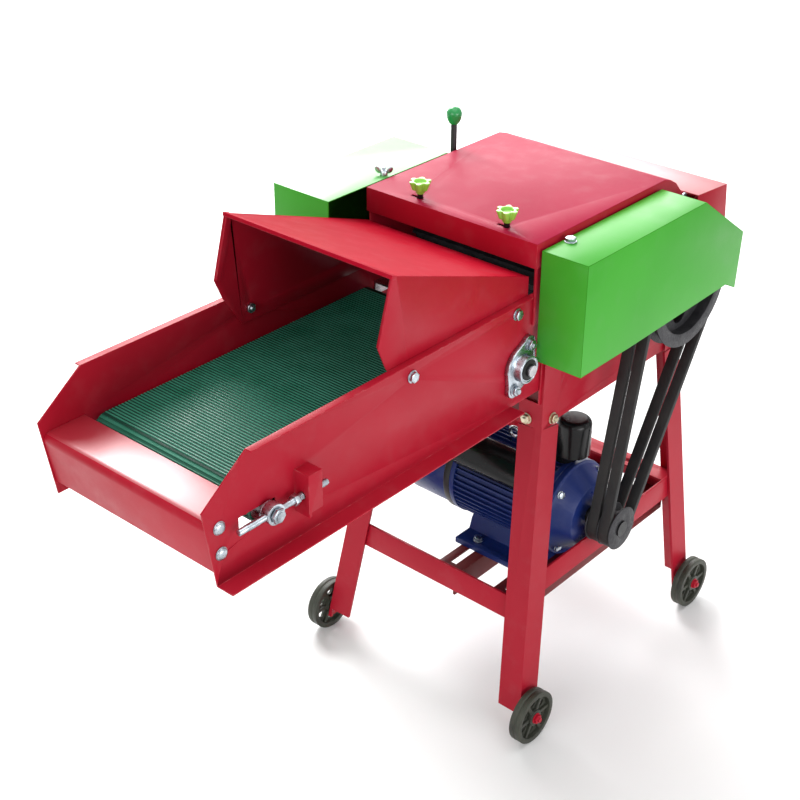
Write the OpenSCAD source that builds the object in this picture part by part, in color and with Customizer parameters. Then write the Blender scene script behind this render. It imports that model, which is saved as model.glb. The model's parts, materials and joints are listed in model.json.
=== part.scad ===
// Straw crusher: a wheeled chaff cutter fed by a ribbed belt and driven by a motor.
// Frame: X across (drive side +X), Y along the feed (discharge end +Y), Z up from the floor.
// The layout is worked out with Y = 0 at the front edge of the lid; place() centres it.

/* [Body] */
// Width over the two body side plates
body_w = 289; // [270:1:310]
// Thickness of the body side plates
plate_t = 3; // [2:0.5:4]
// Thickness of the folded sheets
sheet_t = 2; // [1.5:0.5:3]
// Height of the lid's top face
lid_z = 769; // [764:1:790]
// Height of the lower edge of the body
body_z = 480; // [470:1:490]

/* [Feed table] */
// Length of the trough in front of the lid
trough_len = 576; // [520:1:640]
// Height of the belt's carrying face
belt_z = 627; // [622:1:631]
// Height of the trough's side panels above the belt
panel_rise = 71; // [60:1:80]
// Radius of the front belt roller
front_roller_r = 15; // [13:0.5:16]
// Radius of the rear belt roller
rear_roller_r = 22; // [20:0.5:24]
// Thickness of the belt
belt_t = 3; // [2:0.5:4]
// Height of the ribs on the belt
rib_h = 1.2; // [0.8:0.2:2]
// Spacing of the ribs along the belt
rib_pitch = 5; // [4:0.5:8]

/* [Cutting rotor] */
// Radius swept by the blade edges
rotor_r = 97; // [90:1:98]
// Number of blades on the rotor
blade_count = 6; // [3:1:8]
// Radius of the rotor shaft
rotor_shaft_r = 12.5; // [10:0.5:14]
// Gap between the blade edges and the shroud
shroud_gap = 7; // [4:0.5:9]

/* [Feed rollers] */
// Radius of the lower feed roller over its ribs
lower_roller_r = 42; // [38:0.5:43]
// Radius of the upper feed roller over its ribs
upper_roller_r = 44; // [38:0.5:45]
// How far the upper roller can lift over a thick feed
roller_lift = 12; // [6:1:16]

/* [Belt drive] */
// Outer radius of the rotor's pulley
main_pulley_r = 94; // [80:1:97]
// Outer radius of the motor's pulley
motor_pulley_r = 34; // [30:1:40]
// Distance between the two belts
belt_pitch = 20; // [18:0.5:22]

/* [Stand] */
// Radius of the wheels
wheel_r = 42; // [38:1:46]
// Width of the wheels
wheel_w = 18; // [15:1:22]
// Width of the angle iron's flanges
leg_flange = 40; // [34:1:44]
// Thickness of the angle iron
leg_t = 4; // [3:0.5:5]
// How far the legs spread sideways at the foot
leg_spread_x = 44; // [34:1:46]

/* [Motor] */
// Radius of the motor's finned frame
motor_r = 76; // [70:1:78]
// Height of the motor shaft over its feet
motor_h = 80; // [78:1:84]

/* [Node] */
// Which piece to draw; all draws the whole machine

/* [Hidden] */
$fn = 64;

// Gear sizes: module, teeth and the play between flanks.
gear_m = 3;
gear_play = 0.7;
rotor_teeth = 16;
reduction_teeth = 57;
pair_teeth = 31;

// Running gaps.
turn_gap = 0.4;
bore_gap = 0.06;

// Body planes.
half_w = body_w / 2;
body_in = half_w - plate_t;
panel_out = body_in;
panel_in = panel_out - sheet_t;
trough_front = -trough_len;
front_slant = 16;
panel_top = belt_z + panel_rise;
panel_bottom = belt_z - 84;
lid_skirt = 35;
body_top = lid_z - 5;
body_front = 28;
panel_end = body_front + 18;

// Axes as [y, z].
rotor_at = [290, 631];
motor_at = [160, 280];
feed_y = 132;
lower_at = [feed_y, belt_z - 1 - lower_roller_r];
upper_at = [feed_y, lower_at[1] + gear_m * pair_teeth];
front_roller_at = [trough_front + 92, belt_z - belt_t - front_roller_r];
rear_roller_at = [-22, belt_z - belt_t - rear_roller_r];

// The idler shaft's gear meshes with the rotor's pinion; a short chain takes its turning
// on to the lower feed roller.
far_r = gear_m * (rotor_teeth + reduction_teeth) / 2;
near_r = 63;
span = norm(rotor_at - lower_at);
along = (near_r * near_r - far_r * far_r + span * span) / (2 * span);
aside = sqrt(near_r * near_r - along * along);
link = (rotor_at - lower_at) / span;
idler_at = lower_at + along * link + aside * [-link[1], link[0]];

// Gear planes on the left side, measured outwards from the middle.
gear_w = 12;
pair_x = half_w + 16;
driven_x = pair_x + gear_w + 6;
chain_x = driven_x + gear_w + 5;
sprocket_r = 28;
small_sprocket_r = sprocket_r / 2;
roller_half_t = 1.6;
link_half_h = 3.5;
reduction_x = chain_x + 20;
dog_x = reduction_x - 13.4;

// Pulleys on the right side.
pulley_x = half_w + 26;
pulley_w = 2 * belt_pitch + 2;
groove_1 = pulley_x + 11;
vbelt_w = 16;
vbelt_t = 8;
groove_depth = 10;
groove_half = vbelt_w / 2 + 0.4;

// Stand.
leg_top_z = body_z + 40;
leg_side_top = body_z + 120;
foot_z = 28;
flange_end_z = 43;
spread_z = 42;
leg_front_y = 31;
leg_rear_y = 384;
leg_front_spread = 75;
leg_rear_spread = 34;
leg_drop = body_z - spread_z;
axle_z = wheel_r;
axle_inset = 12;
axle_r = 4;
wheel_gap = 3;
leg_out = half_w + leg_t;
cross_front = leg_front_y + leg_t;
cross_rear = leg_rear_y - leg_t;

// Lid.
lid_front = 0;
lid_flat_end = 298;
pin_at = [352, 727];
pin_r = 4;
stud_y = 20;
stud_x = [-66, 82];
stud_r = 4;
knob_rise = 6;

// Discharge hood.
hood_half = 165;
hood_front = 364;
hood_back = 451;
hood_top = 731;
hood_low = 600;

// Covers.
cover_t = 1.5;
belt_cover_in = half_w + 6;
belt_cover_out = half_w + 78;
gear_cover_in = half_w + 7;
gear_cover_out = half_w + 112;
gear_cover_front = -71;

// Overall box, used to centre the part.
overall_left = gear_cover_out;
wheel_side = leg_out + leg_spread_x * (body_z - axle_z) / leg_drop + wheel_gap + wheel_w + 6;
overall_right = max(belt_cover_out, wheel_side);
mid_x = (overall_right - overall_left) / 2;
mid_y = (trough_front + hood_back) / 2;

// Colours.
red = [0.69, 0.16, 0.20];
dark_red = [0.42, 0.13, 0.14];
green = [0.25, 0.68, 0.28];
belt_green = [0.10, 0.36, 0.30];
zinc = [0.75, 0.76, 0.78];
steel = [0.55, 0.56, 0.58];
iron = [0.32, 0.33, 0.35];
black = [0.08, 0.08, 0.09];
blue = [0.08, 0.15, 0.42];
lime = [0.70, 0.85, 0.25];
olive = [0.28, 0.29, 0.24];

// Small helpers.

module place() {
  translate([-mid_x, -mid_y, 0]) children();
}

// Extrudes a [y, z] outline along +X from x.
module side_plate(x, t) {
  translate([x, 0, 0]) rotate([90, 0, 90]) linear_extrude(t) children();
}

// A round bar along X from x, at a [y, z] point.
module bar_x(x, length, at, r) {
  translate([x, at[0], at[1]]) rotate([0, 90, 0]) cylinder(h = length, r = r);
}

// A round bar along Y from y, at an [x, z] point.
module bar_y(y, length, at, r) {
  translate([at[0], y, at[1]]) rotate([-90, 0, 0]) cylinder(h = length, r = r);
}

// A cuboid between two corners.
module block(low, high) {
  translate(low) cube(high - low);
}

// The same piece on both sides of the middle plane.
module both_sides() {
  children();
  mirror([1, 0, 0]) children();
}

// A hexagonal head or nut along X.
module hex_x(x, length, at, flats) {
  translate([x, at[0], at[1]]) rotate([0, 90, 0])
    cylinder(h = length, r = flats / 2 / cos(30), $fn = 6);
}

// A hexagonal nut along Y.
module hex_y(y, length, at, flats) {
  translate([at[0], y, at[1]]) rotate([-90, 0, 0])
    cylinder(h = length, r = flats / 2 / cos(30), $fn = 6);
}

// Bolt along X: head outside x, shank inwards.
module bolt_x(x, side, at, grip, r = 4) {
  mirror([side < 0 ? 1 : 0, 0, 0]) {
    bar_x(x, 1.5, at, 2.1 * r);
    hex_x(x + 1.5, 1.2 * r, at, 3.2 * r);
    bar_x(x - grip, grip + 2, at, r);
    hex_x(x - grip - 0.8 * r, 0.8 * r, at, 3.2 * r);
  }
}

// Outline of a loop that runs round two circles at [y, z] points.
module loop_outline(a, ra, b, rb) {
  way = b - a;
  dir = atan2(way[1], way[0]);
  open = acos((ra - rb) / norm(way));
  translate(a) circle(ra, $fn = 96);
  translate(b) circle(rb, $fn = 96);
  polygon([
    a + ra * [cos(dir + open), sin(dir + open)],
    b + rb * [cos(dir + open), sin(dir + open)],
    b + rb * [cos(dir - open), sin(dir - open)],
    a + ra * [cos(dir - open), sin(dir - open)]
  ]);
}

// Outline of a spur gear with straight-flanked teeth; turned sets the first tooth.
module gear_outline(teeth, turned) {
  pitch_r = gear_m * teeth / 2;
  root_r = pitch_r - 1.2 * gear_m;
  half_tooth = (PI * gear_m / 2 - gear_play) / 2;
  circle(root_r, $fn = max(48, teeth * 2));
  for (i = [0 : teeth - 1])
    rotate(turned + i * 360 / teeth)
      polygon([
        [root_r - 1, -1.45 * half_tooth],
        [pitch_r, -half_tooth],
        [pitch_r + 0.9 * gear_m, -0.42 * half_tooth],
        [pitch_r + 0.9 * gear_m, 0.42 * half_tooth],
        [pitch_r, half_tooth],
        [root_r - 1, 1.45 * half_tooth]
      ]);
}

// A gear on the left side: x is its inner face, counted outwards.
module left_gear(x, at, teeth, turned, bore_r, width = gear_w) {
  side_plate(-x - width, width)
    translate(at) difference() {
      gear_outline(teeth, turned);
      circle(bore_r);
    }
}

// Angle from one axis to another.
function heading(from, to) = atan2(to[1] - from[1], to[0] - from[0]);

// Tooth phases that bring each pair into mesh along its centre line.
driver_phase = heading(rotor_at, idler_at);
reduction_phase = heading(idler_at, rotor_at) + 180 / reduction_teeth;
pair_phase = 90;
upper_phase = 270 + 180 / pair_teeth;

// Stand.

// An angle iron along +Z with its outer corner on the Z axis, flanges to -X and +Y.
module angle_iron(length) {
  linear_extrude(length) polygon([
    [0, 0], [-leg_flange, 0], [-leg_flange, leg_t], [-leg_t, leg_t],
    [-leg_t, leg_flange], [0, leg_flange]
  ]);
}

// One leg: a straight top on the body and a splayed lower length.
module leg(corner_y, spread_y, side_top = leg_top_z) {
  drop = [leg_spread_x, -spread_y, -leg_drop];
  reach = norm(drop) + 30;
  tilt_y = atan2(drop[0], leg_drop);
  tilt_x = atan2(drop[1], norm([drop[0], leg_drop]));
  far = 200;
  translate([leg_out, corner_y, 0]) {
    translate([0, 0, body_z]) angle_iron(leg_top_z - body_z);
    block([-leg_t, 0, body_z], [0, leg_flange, side_top]);
    difference() {
      translate([0, 0, body_z + 1])
        rotate([0, -tilt_y, 0]) rotate([tilt_x, 0, 0])
          translate([0, 0, -reach]) angle_iron(reach);
      block([-leg_out, -far, body_z + 3], [far, far, body_z + 60]);
      block([-leg_out, -far, -far], [far, far, foot_z]);
      block([-leg_out, -far, 0], [leg_spread_x - leg_t - 1, far, flange_end_z]);
      bar_x(0, far, [foot_y(spread_y) + axle_inset, axle_z], axle_r);
    }
  }
}

// Leg corner's shift along Y at axle height.
function foot_y(spread_y) = -spread_y * (body_z - axle_z) / leg_drop;

module front_legs() {
  color(red) difference() {
    both_sides() leg(leg_front_y, leg_front_spread, leg_side_top);
    leg_bores();
  }
}

module rear_legs() {
  color(red) difference() {
    both_sides() translate([0, leg_rear_y, 0]) mirror([0, 1, 0]) leg(0, leg_rear_spread);
    leg_bores();
  }
}

module leg_bores() {
  side_bolt_bores();
  both_sides() for (y = [leg_front_y - 1, leg_rear_y - leg_t - 1])
    bar_y(y, leg_t + 2, [cross_bolt_x, cross_bolt_z], 4);
}

// Leg corner as [x, y] at a height, front or rear.
function leg_corner(z, rear) =
  let (f = (body_z - z) / leg_drop)
  [leg_out + f * leg_spread_x,
   rear ? leg_rear_y + f * leg_rear_spread : leg_front_y - f * leg_front_spread];

front_bar_z = [178, 214];
side_bar_z = [218, 252];
rear_bar_z = [motor_at[1] - motor_h, 242];
rail_top_z = motor_at[1] - motor_h;
rail_x = [-8, 96];
rail_w = 44;
slot_pitch = 190;

module front_crossbar() {
  half = leg_corner(front_bar_z[0], false)[0] - 3;
  low = leg_corner(front_bar_z[0], false)[1] + leg_t + 0.2;
  high = leg_corner(front_bar_z[1], false)[1] + leg_t + 0.2;
  color(red) side_plate(-half + 6, 2 * half - 12) polygon([
    [low + 0.4, front_bar_z[0]], [low + 4.4, front_bar_z[0]],
    [high + 4.4, front_bar_z[1]], [high + 0.4, front_bar_z[1]]
  ]);
}

module rear_crossbar() {
  half = leg_corner(rear_bar_z[1], true)[0] - leg_t - 6;
  low = leg_corner(rear_bar_z[0], true)[1] - leg_t - 0.3;
  high = leg_corner(rear_bar_z[1], true)[1] - leg_t - 0.3;
  color(red) difference() {
    side_plate(-half, 2 * half) polygon([
      [low, rear_bar_z[0]], [high, rear_bar_z[1]], [high - 34, rear_bar_z[1]],
      [high - 34, rear_bar_z[1] - 4], [high - 4, rear_bar_z[1] - 4], [low - 4, rear_bar_z[0]]
    ]);
    for (x = [-slot_pitch / 2, slot_pitch / 2]) {
      block([x - 13, high - 24, rear_bar_z[1] - 10], [x + 13, high - 14, rear_bar_z[1] + 2]);
      for (end = [-13, 13])
        translate([x + end, high - 19, rear_bar_z[1] - 10]) cylinder(h = 12, r = 5);
    }
  }
}

module side_crossbars() {
  z0 = side_bar_z[0];
  z1 = side_bar_z[1];
  x0 = leg_corner(z0, false)[0] - leg_t - 0.4;
  x1 = leg_corner(z1, false)[0] - leg_t - 0.4;
  y0 = leg_corner(z1, false)[1] + leg_t + 1;
  y1 = leg_corner(z0, true)[1] - 12;
  color(red) both_sides()
    translate([0, y1, 0]) rotate([90, 0, 0]) linear_extrude(y1 - y0) polygon([
      [x0 - 4, z0], [x0, z0], [x1, z1], [x1 - 4, z1]
    ]);
}

module motor_rails() {
  y0 = leg_corner(rail_top_z, false)[1] + leg_t + 4.7;
  y1 = leg_corner(rail_top_z, true)[1] - leg_t - 1;
  color(dark_red) for (x = rail_x) difference() {
    union() {
      block([x, y0, rail_top_z - 4], [x + rail_w, y1, rail_top_z]);
      block([x + rail_w - 4, y0, rail_top_z - 36], [x + rail_w, y1, rail_top_z]);
    }
    for (y = [y0 + 24, motor_at[0] + 8])
      block([x + 14, y, rail_top_z - 10], [x + 26, y + 70, rail_top_z + 2]);
  }
}

// Wheels.

function wheel_at(rear) =
  let (f = leg_corner(axle_z, rear))
  [f[0] + wheel_gap, rear ? f[1] - axle_inset : f[1] + axle_inset];

module wheel(side, rear) {
  at = wheel_at(rear);
  rim_in = wheel_r - 8;
  color(olive) mirror([side < 0 ? 1 : 0, 0, 0])
    translate([at[0], at[1], axle_z]) rotate([0, 90, 0]) difference() {
      union() {
        difference() {
          cylinder(h = wheel_w, r = wheel_r, $fn = 96);
          translate([0, 0, -1]) cylinder(h = wheel_w + 2, r = rim_in, $fn = 96);
          translate([0, 0, wheel_w / 2]) rotate_extrude($fn = 96)
            translate([wheel_r + 1.5, 0]) circle(2.5, $fn = 24);
        }
        cylinder(h = wheel_w, r = 13);
        for (i = [0 : 5]) rotate(30 + i * 60)
          translate([11, -3, 3]) cube([rim_in - 9, 6, wheel_w - 6]);
        translate([0, 0, wheel_w / 2 - 1.5]) difference() {
          cylinder(h = 3, r = rim_in + 1);
          for (i = [0 : 5]) rotate(i * 60) translate([rim_in - 11, 0, -1]) cylinder(h = 5, r = 6.5);
        }
      }
      translate([0, 0, -1]) cylinder(h = wheel_w + 2, r = axle_r + bore_gap);
    }
}

module wheel_front_right() { wheel(1, false); }
module wheel_front_left() { wheel(-1, false); }
module wheel_rear_right() { wheel(1, true); }
module wheel_rear_left() { wheel(-1, true); }

// Body.

module body_outline() {
  polygon([
    [cross_front, body_z], [cross_rear, body_z], [cross_rear, leg_top_z + 1], [388, 545],
    [388, pin_at[1] - 7], [pin_at[0] + 9, pin_at[1] - 3], [pin_at[0], pin_at[1]],
    [pin_at[0] - 7, pin_at[1] + 6], [pin_at[0] - 11, pin_at[1] + 8.5],
    [lid_flat_end + 28, body_top - 14], [lid_flat_end + 13, body_top - 5],
    [lid_flat_end - 2, body_top], [3, body_top], [3, 652], [body_front, 652],
    [body_front, leg_top_z + 1], [cross_front, leg_top_z + 1]
  ]);
  translate(pin_at) circle(8);
}

// Lower ends of the springs, where they hook on the body.
spring_low = belt_z - 16;
spring_y = [feed_y - 17, feed_y + 17];
spring_x = half_w + 8.9;

module body_side() {
  color(red) {
    difference() {
      side_plate(body_in, plate_t) difference() {
        body_outline();
        translate(rotor_at) circle(rotor_shaft_r + 6);
        translate(lower_at) circle(13.2);
        translate([feed_y - 20, upper_at[1] - 20]) square([40, 41 + roller_lift]);
        translate(pin_at) circle(pin_r);
        translate(idler_at) circle(12);
      }
      side_bolt_bores();
    }
    for (y = spring_y)
      block([half_w - 1, y - 5, spring_low - 5], [spring_x + 5, y + 5, spring_low]);
  }
}

module body_side_right() {
  body_side();
}

module body_side_left() {
  mirror([1, 0, 0]) body_side();
  lever_bracket();
}

// Two lugs and a pin that carry the shift lever.
module lever_bracket() {
  color(red) for (y = [lever_y - 9.6, lever_y + 6.4]) difference() {
    block([-lever_x - 6, y, lever_pivot_z - 9], [-half_w + 1, y + 3.2, lever_pivot_z + 6]);
    bar_y(y - 1, 6, [-lever_x, lever_pivot_z], 3);
  }
  color(zinc) bar_y(lever_y - 11, 22, [-lever_x, lever_pivot_z], 3);
}

// A ring sector outline round the rotor, between two angles.
module shroud_outline(r, t, from, to) {
  steps = 12;
  far = 3 * r;
  intersection() {
    difference() {
      circle(r + t, $fn = 128);
      circle(r, $fn = 128);
    }
    polygon(concat([[0, 0]], [for (i = [0 : steps])
      let (a = from + (to - from) * i / steps) far * [cos(a), sin(a)]]));
  }
}

module rotor_shroud() {
  color(red) side_plate(-body_in, 2 * body_in) translate(rotor_at)
    shroud_outline(rotor_r + shroud_gap, sheet_t, 197, 342);
}

bed_back = rotor_at[0] - rotor_r - 8;

// The bed under the fixed blade, and the plates that tie the body's sides at the legs.
module cross_plates() {
  color(dark_red) {
    side_plate(-body_in, 2 * body_in) polygon([
      [bed_back - 8, 570], [bed_back + 2, 570], [bed_back + 2, belt_z - 8],
      [bed_back - 12, belt_z - 8], [bed_back - 12, belt_z - 16]
    ]);
    for (y = [cross_front, cross_rear - 3]) difference() {
      block([-body_in, y, body_z], [body_in, y + 3, y == cross_front ? panel_bottom - 2 : body_z + 38]);
      both_sides() bar_y(y - 1, 5, [cross_bolt_x, cross_bolt_z], 4);
    }
  }
}

module fixed_blade() {
  color(steel) difference() {
    side_plate(-body_in + 4, 2 * body_in - 8) polygon([
      [bed_back - 12, belt_z - 8], [bed_back + 4, belt_z - 8],
      [bed_back + 6.5, belt_z], [bed_back - 7, belt_z]
    ]);
    for (x = [-100, 0, 100])
      translate([x, bed_back - 3, belt_z - 10]) cylinder(h = 20, r = 3.2);
  }
}

feed_plate_front = rear_roller_at[0] + rear_roller_r + belt_t + rib_h + 3;
feed_plate_back = lower_at[0] - lower_roller_r - 3;

module feed_plate() {
  color(steel) {
    block([-panel_in, feed_plate_front, belt_z - 4],
          [panel_in, feed_plate_back, belt_z - 1]);
    both_sides() block([panel_in - 3, feed_plate_front, belt_z - 22],
                       [panel_in, feed_plate_back, belt_z - 2]);
  }
}

// Cross bar that the two star knobs screw into.
module lid_bar() {
  color(steel) difference() {
    block([-body_in, stud_y - 12, body_top - 10], [body_in, stud_y + 12, body_top - 2]);
    for (x = stud_x) translate([x, stud_y, body_top - 12]) cylinder(h = 14, r = stud_r + 1.6);
  }
}

// Side outline of the lid's outer face, rear edge rolled down to the hinge pin.
module lid_outline(inset) {
  polygon([
    [lid_front + inset, lid_z - lid_skirt - 1], [lid_front + inset, lid_z - inset],
    [lid_flat_end, lid_z - inset], [lid_flat_end + 16 - inset / 2, lid_z - 5 - inset],
    [lid_flat_end + 32 - inset / 2, lid_z - 14 - inset], [pin_at[0] + 1 - inset, pin_at[1] + 4],
    [pin_at[0] - 14, lid_z - lid_skirt - 1]
  ]);
}

module lid() {
  skin = half_w + 2;
  skirt_bottom = lid_z - lid_skirt;
  color(red) difference() {
    union() {
      difference() {
        side_plate(-skin, 2 * skin) lid_outline(0);
        side_plate(-skin + 1.5, 2 * skin - 3) lid_outline(1.5);
        block([-skin - 1, lid_front - 1, skirt_bottom - 4],
              [skin + 1, pin_at[0] - 12, skirt_bottom]);
      }
      bar_x(-body_in + 2, 2 * body_in - 4, pin_at, 7);
    }
    bar_x(-skin, 2 * skin, pin_at, pin_r + bore_gap);
    for (x = stud_x) {
      translate([x, stud_y, lid_z - 6]) cylinder(h = 10, r = stud_r + 0.8);
      block([x - 15, stud_y - 2.5, lid_z - 6], [x, stud_y + 2.5, lid_z + 4]);
    }
    both_sides() block([body_in - 1, pin_at[0] - 14, pin_at[1] - 12],
                       [half_w + 0.6, pin_at[0] + 12, pin_at[1] + 8]);
  }
}

module lid_pin() {
  color(zinc) {
    bar_x(-half_w - 4, 2 * half_w + 8, pin_at, pin_r);
    both_sides() bar_x(half_w + 2.4, 3, pin_at, 7);
  }
}

// A hand knob with six lobes, a dished top and its screw.
module star_knob(x) {
  base = lid_z + knob_rise;
  color(lime) translate([x, stud_y, base]) difference() {
    union() {
      cylinder(h = 6, r1 = 8, r2 = 11);
      translate([0, 0, 6]) linear_extrude(12) {
        circle(11);
        for (i = [0 : 5]) rotate(i * 60) translate([11, 0]) circle(4, $fn = 24);
      }
    }
    translate([0, 0, 14]) cylinder(h = 6, r1 = 7, r2 = 9);
    translate([0, 0, -1]) cylinder(h = 12, r = stud_r);
  }
  color(zinc) translate([x, stud_y, body_top - 16]) cylinder(h = base + 11 - body_top + 16, r = stud_r);
}

module star_knob_left() { star_knob(stud_x[0]); }
module star_knob_right() { star_knob(stud_x[1]); }

// Discharge hood behind the rotor, open below.
module hood_outline() {
  polygon([
    [hood_front, hood_low], [hood_front, hood_top], [445, hood_top - 6],
    [hood_back, hood_top - 56], [hood_back, hood_low]
  ]);
}

module discharge_hood() {
  color(red) {
    both_sides() side_plate(hood_half - sheet_t, sheet_t) hood_outline();
    side_plate(-hood_half, 2 * hood_half) difference() {
      hood_outline();
      offset_hood();
    }
    both_sides() block([half_w, hood_front, hood_low], [hood_half, hood_front + sheet_t, hood_top - 12]);
  }
}

// The inside of the hood's outline, cut so that only the top and the back stay.
module offset_hood() {
  polygon([
    [hood_front - 1, hood_low - 1], [hood_front - 1, hood_top - sheet_t],
    [445 - sheet_t, hood_top - 6 - sheet_t], [hood_back - sheet_t, hood_top - 56],
    [hood_back - sheet_t, hood_low - 1]
  ]);
}

// Outline of the cover over the pulleys.
module belt_cover_outline(inset) {
  polygon([
    [5 + inset, 602 - 1], [5 + inset, 760 - inset], [285, 760 - inset],
    [403 - inset, 679 - inset], [398 - inset, 592 - 1], [370, 606], [120, 602 - 1]
  ]);
}

module belt_cover() {
  w = belt_cover_out - belt_cover_in;
  color(green) {
    difference() {
      side_plate(belt_cover_in, w) belt_cover_outline(0);
      side_plate(belt_cover_in - 1, w - cover_t + 1) belt_cover_outline(cover_t);
      block([belt_cover_in - 1, 5 + cover_t, 580], [belt_cover_out - cover_t, 398 - cover_t, 604]);
      block([belt_cover_in - 1, hood_front - 2, 580], [hood_half + 1, 500, 780]);
    }
    for (y = [44, 152]) {
      block([half_w, y, 716], [half_w + 24, y + 18, 719]);
      block([half_w + 21, y, 716], [half_w + 24, y + 18, 759]);
    }
  }
}

// Outline of the cover over the gears.
module gear_cover_outline(inset) {
  polygon([
    [gear_cover_front + inset, 540 + inset], [gear_cover_front + inset, 767 - inset],
    [181, 767 - inset], [345 - inset, 680 - inset], [345 - inset, 600 + inset],
    [250, 500 + inset], [60, 500 + inset]
  ]);
}

module gear_cover() {
  w = gear_cover_out - gear_cover_in;
  color(green) mirror([1, 0, 0]) {
    difference() {
      side_plate(gear_cover_in, w) gear_cover_outline(0);
      side_plate(gear_cover_in - 1, w - cover_t + 1) gear_cover_outline(cover_t);
      block([gear_cover_in - 1, lever_y - 7, 750], [lever_x + 11, lever_y + 7, 770]);
      block([gear_cover_in - 1, gear_cover_front - 1, panel_bottom - 1],
            [panel_out + 25, gear_cover_front + cover_t + 1, panel_bottom + sheet_t + 1]);
    }
    for (y = [44, 226]) {
      block([half_w, y, 722], [half_w + 12, y + 18, 725]);
      block([half_w + 9, y, 722], [half_w + 12, y + 18, min(766, 748 + (226 - y))]);
    }
  }
}

// Rotor.

module rotor_shaft() {
  color(steel) {
    bar_x(-reduction_x - gear_w - 8, reduction_x + gear_w + 8 + pulley_x + pulley_w + 6,
          rotor_at, rotor_shaft_r);
    left_gear(reduction_x, rotor_at, rotor_teeth, driver_phase, rotor_shaft_r - 0.5);
  }
}

disc_x = [-118, -3, 112];

module rotor_drum() {
  color(iron) difference() {
    union() {
      for (x = disc_x) bar_x(x, 6, rotor_at, rotor_r - 52);
      bar_x(disc_x[0], disc_x[2] - disc_x[0] + 6, rotor_at, rotor_shaft_r + 8);
      for (x = disc_x) translate([x, rotor_at[0], rotor_at[1]]) for (i = [0 : blade_count - 1])
        rotate([i * 360 / blade_count, 0, 0]) block([0, -6, 20], [6, 6, rotor_r - 22]);
    }
    bar_x(-200, 400, rotor_at, rotor_shaft_r);
  }
}

module rotor_blades() {
  half = body_in - 8;
  color(steel) translate([0, rotor_at[0], rotor_at[1]]) for (i = [0 : blade_count - 1])
    rotate([i * 360 / blade_count, 0, 0])
      side_plate(-half, 2 * half) polygon([
        [6, rotor_r - 50], [12, rotor_r - 50], [12, rotor_r - 6], [7, rotor_r - 0.6], [6, rotor_r - 1]
      ]);
}

// Bearings of the rotor and the idler shaft, on the outside of the body.
module bearing_x(x, at, r, bore_r, width, rim = 11) {
  difference() {
    union() {
      bar_x(x, width, at, r);
      bar_x(x, 5, at, r + rim);
    }
    bar_x(x - 1, width + 2, at, bore_r + bore_gap);
  }
}

module rotor_bearings() {
  color(iron) {
    bearing_x(half_w, rotor_at, 26, rotor_shaft_r, 20);
    mirror([1, 0, 0]) bearing_x(half_w, rotor_at, 26, rotor_shaft_r, 20);
    mirror([1, 0, 0]) bearing_x(half_w, idler_at, 17, 10, 14, 7);
    both_sides() difference() {
      bar_x(body_in - 1, plate_t + 2, lower_at, 13.1);
      bar_x(body_in - 2, plate_t + 4, lower_at, 10 + bore_gap);
    }
  }
}

// A two-groove belt pulley along +X from x, with a web and a hub.
module pulley(x, at, r, bore_r, spokes) {
  g1 = groove_1 - x;
  translate([x, at[0], at[1]]) rotate([0, 90, 0]) difference() {
    rotate_extrude($fn = 128) difference() {
      square([r, pulley_w]);
      for (g = [g1, g1 + belt_pitch])
        polygon([
          [r + 1, g - groove_half - 0.9], [r - groove_depth, g - groove_half],
          [r - groove_depth, g + groove_half], [r + 1, g + groove_half + 0.9]
        ]);
      translate([-1, -1]) square([bore_r + 1, pulley_w + 2]);
      if (spokes > 0) {
        translate([bore_r + 11, -1]) square([r - bore_r - 31, pulley_w / 2 - 4]);
        translate([bore_r + 11, pulley_w / 2 + 5]) square([r - bore_r - 31, pulley_w]);
      }
    }
    if (spokes > 0)
      for (i = [0 : spokes - 1]) rotate(i * 360 / spokes)
        translate([(r + bore_r) / 2 - 4, 0, -1]) cylinder(h = pulley_w + 2, r = r * 0.17);
  }
}

module main_pulley() {
  color(iron) pulley(pulley_x, rotor_at, main_pulley_r, rotor_shaft_r, 6);
}

module motor_pulley() {
  color(iron) pulley(pulley_x, motor_at, motor_pulley_r, motor_shaft_r, 0);
}

// Loops that sit in the pulley grooves.
module v_belts() {
  seat = vbelt_t + 0.6 - groove_depth;
  color(black) for (x = [groove_1, groove_1 + belt_pitch])
    side_plate(x - vbelt_w / 2, vbelt_w) difference() {
      loop_outline(rotor_at, main_pulley_r + seat, motor_at, motor_pulley_r + seat);
      loop_outline(rotor_at, main_pulley_r + seat - vbelt_t, motor_at, motor_pulley_r + seat - vbelt_t);
    }
}

// Feed rollers.

// A ribbed roller across the body.
module ribbed_roller(at, r, ribs) {
  half = body_in - 4;
  core = r - 8;
  bar_x(-half, 2 * half, at, core);
  translate([0, at[0], at[1]]) for (i = [0 : ribs - 1])
    rotate([i * 360 / ribs, 0, 0]) side_plate(-half, 2 * half) polygon([
      [-5, core - 3], [5, core - 3], [2, r - 0.05], [-2, r - 0.05]
    ]);
}

module lower_feed_roller() {
  color(iron) {
    ribbed_roller(lower_at, lower_roller_r, 12);
    bar_x(-chain_x - 8, chain_x + 8 + half_w + 6, lower_at, 10);
  }
}

module upper_feed_roller() {
  color(iron) {
    ribbed_roller(upper_at, upper_roller_r, 12);
    bar_x(-pair_x - gear_w - 3, pair_x + gear_w + 3 + half_w + 10, upper_at, 10);
  }
}

module lower_gears() {
  color(iron) {
    left_gear(pair_x, lower_at, pair_teeth, pair_phase, 10);
    sprocket(driven_x, lower_at, sprocket_r, 10);
    sprocket(chain_x, lower_at, sprocket_r, 10);
  }
}

module upper_gear() {
  color(iron) left_gear(pair_x, upper_at, pair_teeth, upper_phase, 10);
}

// Plain wheel for a chain, thin enough to stay between the chain's side plates.
module sprocket(x, at, r, bore_r) {
  side_plate(-x - 5, 4) translate(at) difference() {
    circle(r - roller_half_t - 0.6);
    circle(bore_r);
  }
}

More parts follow.
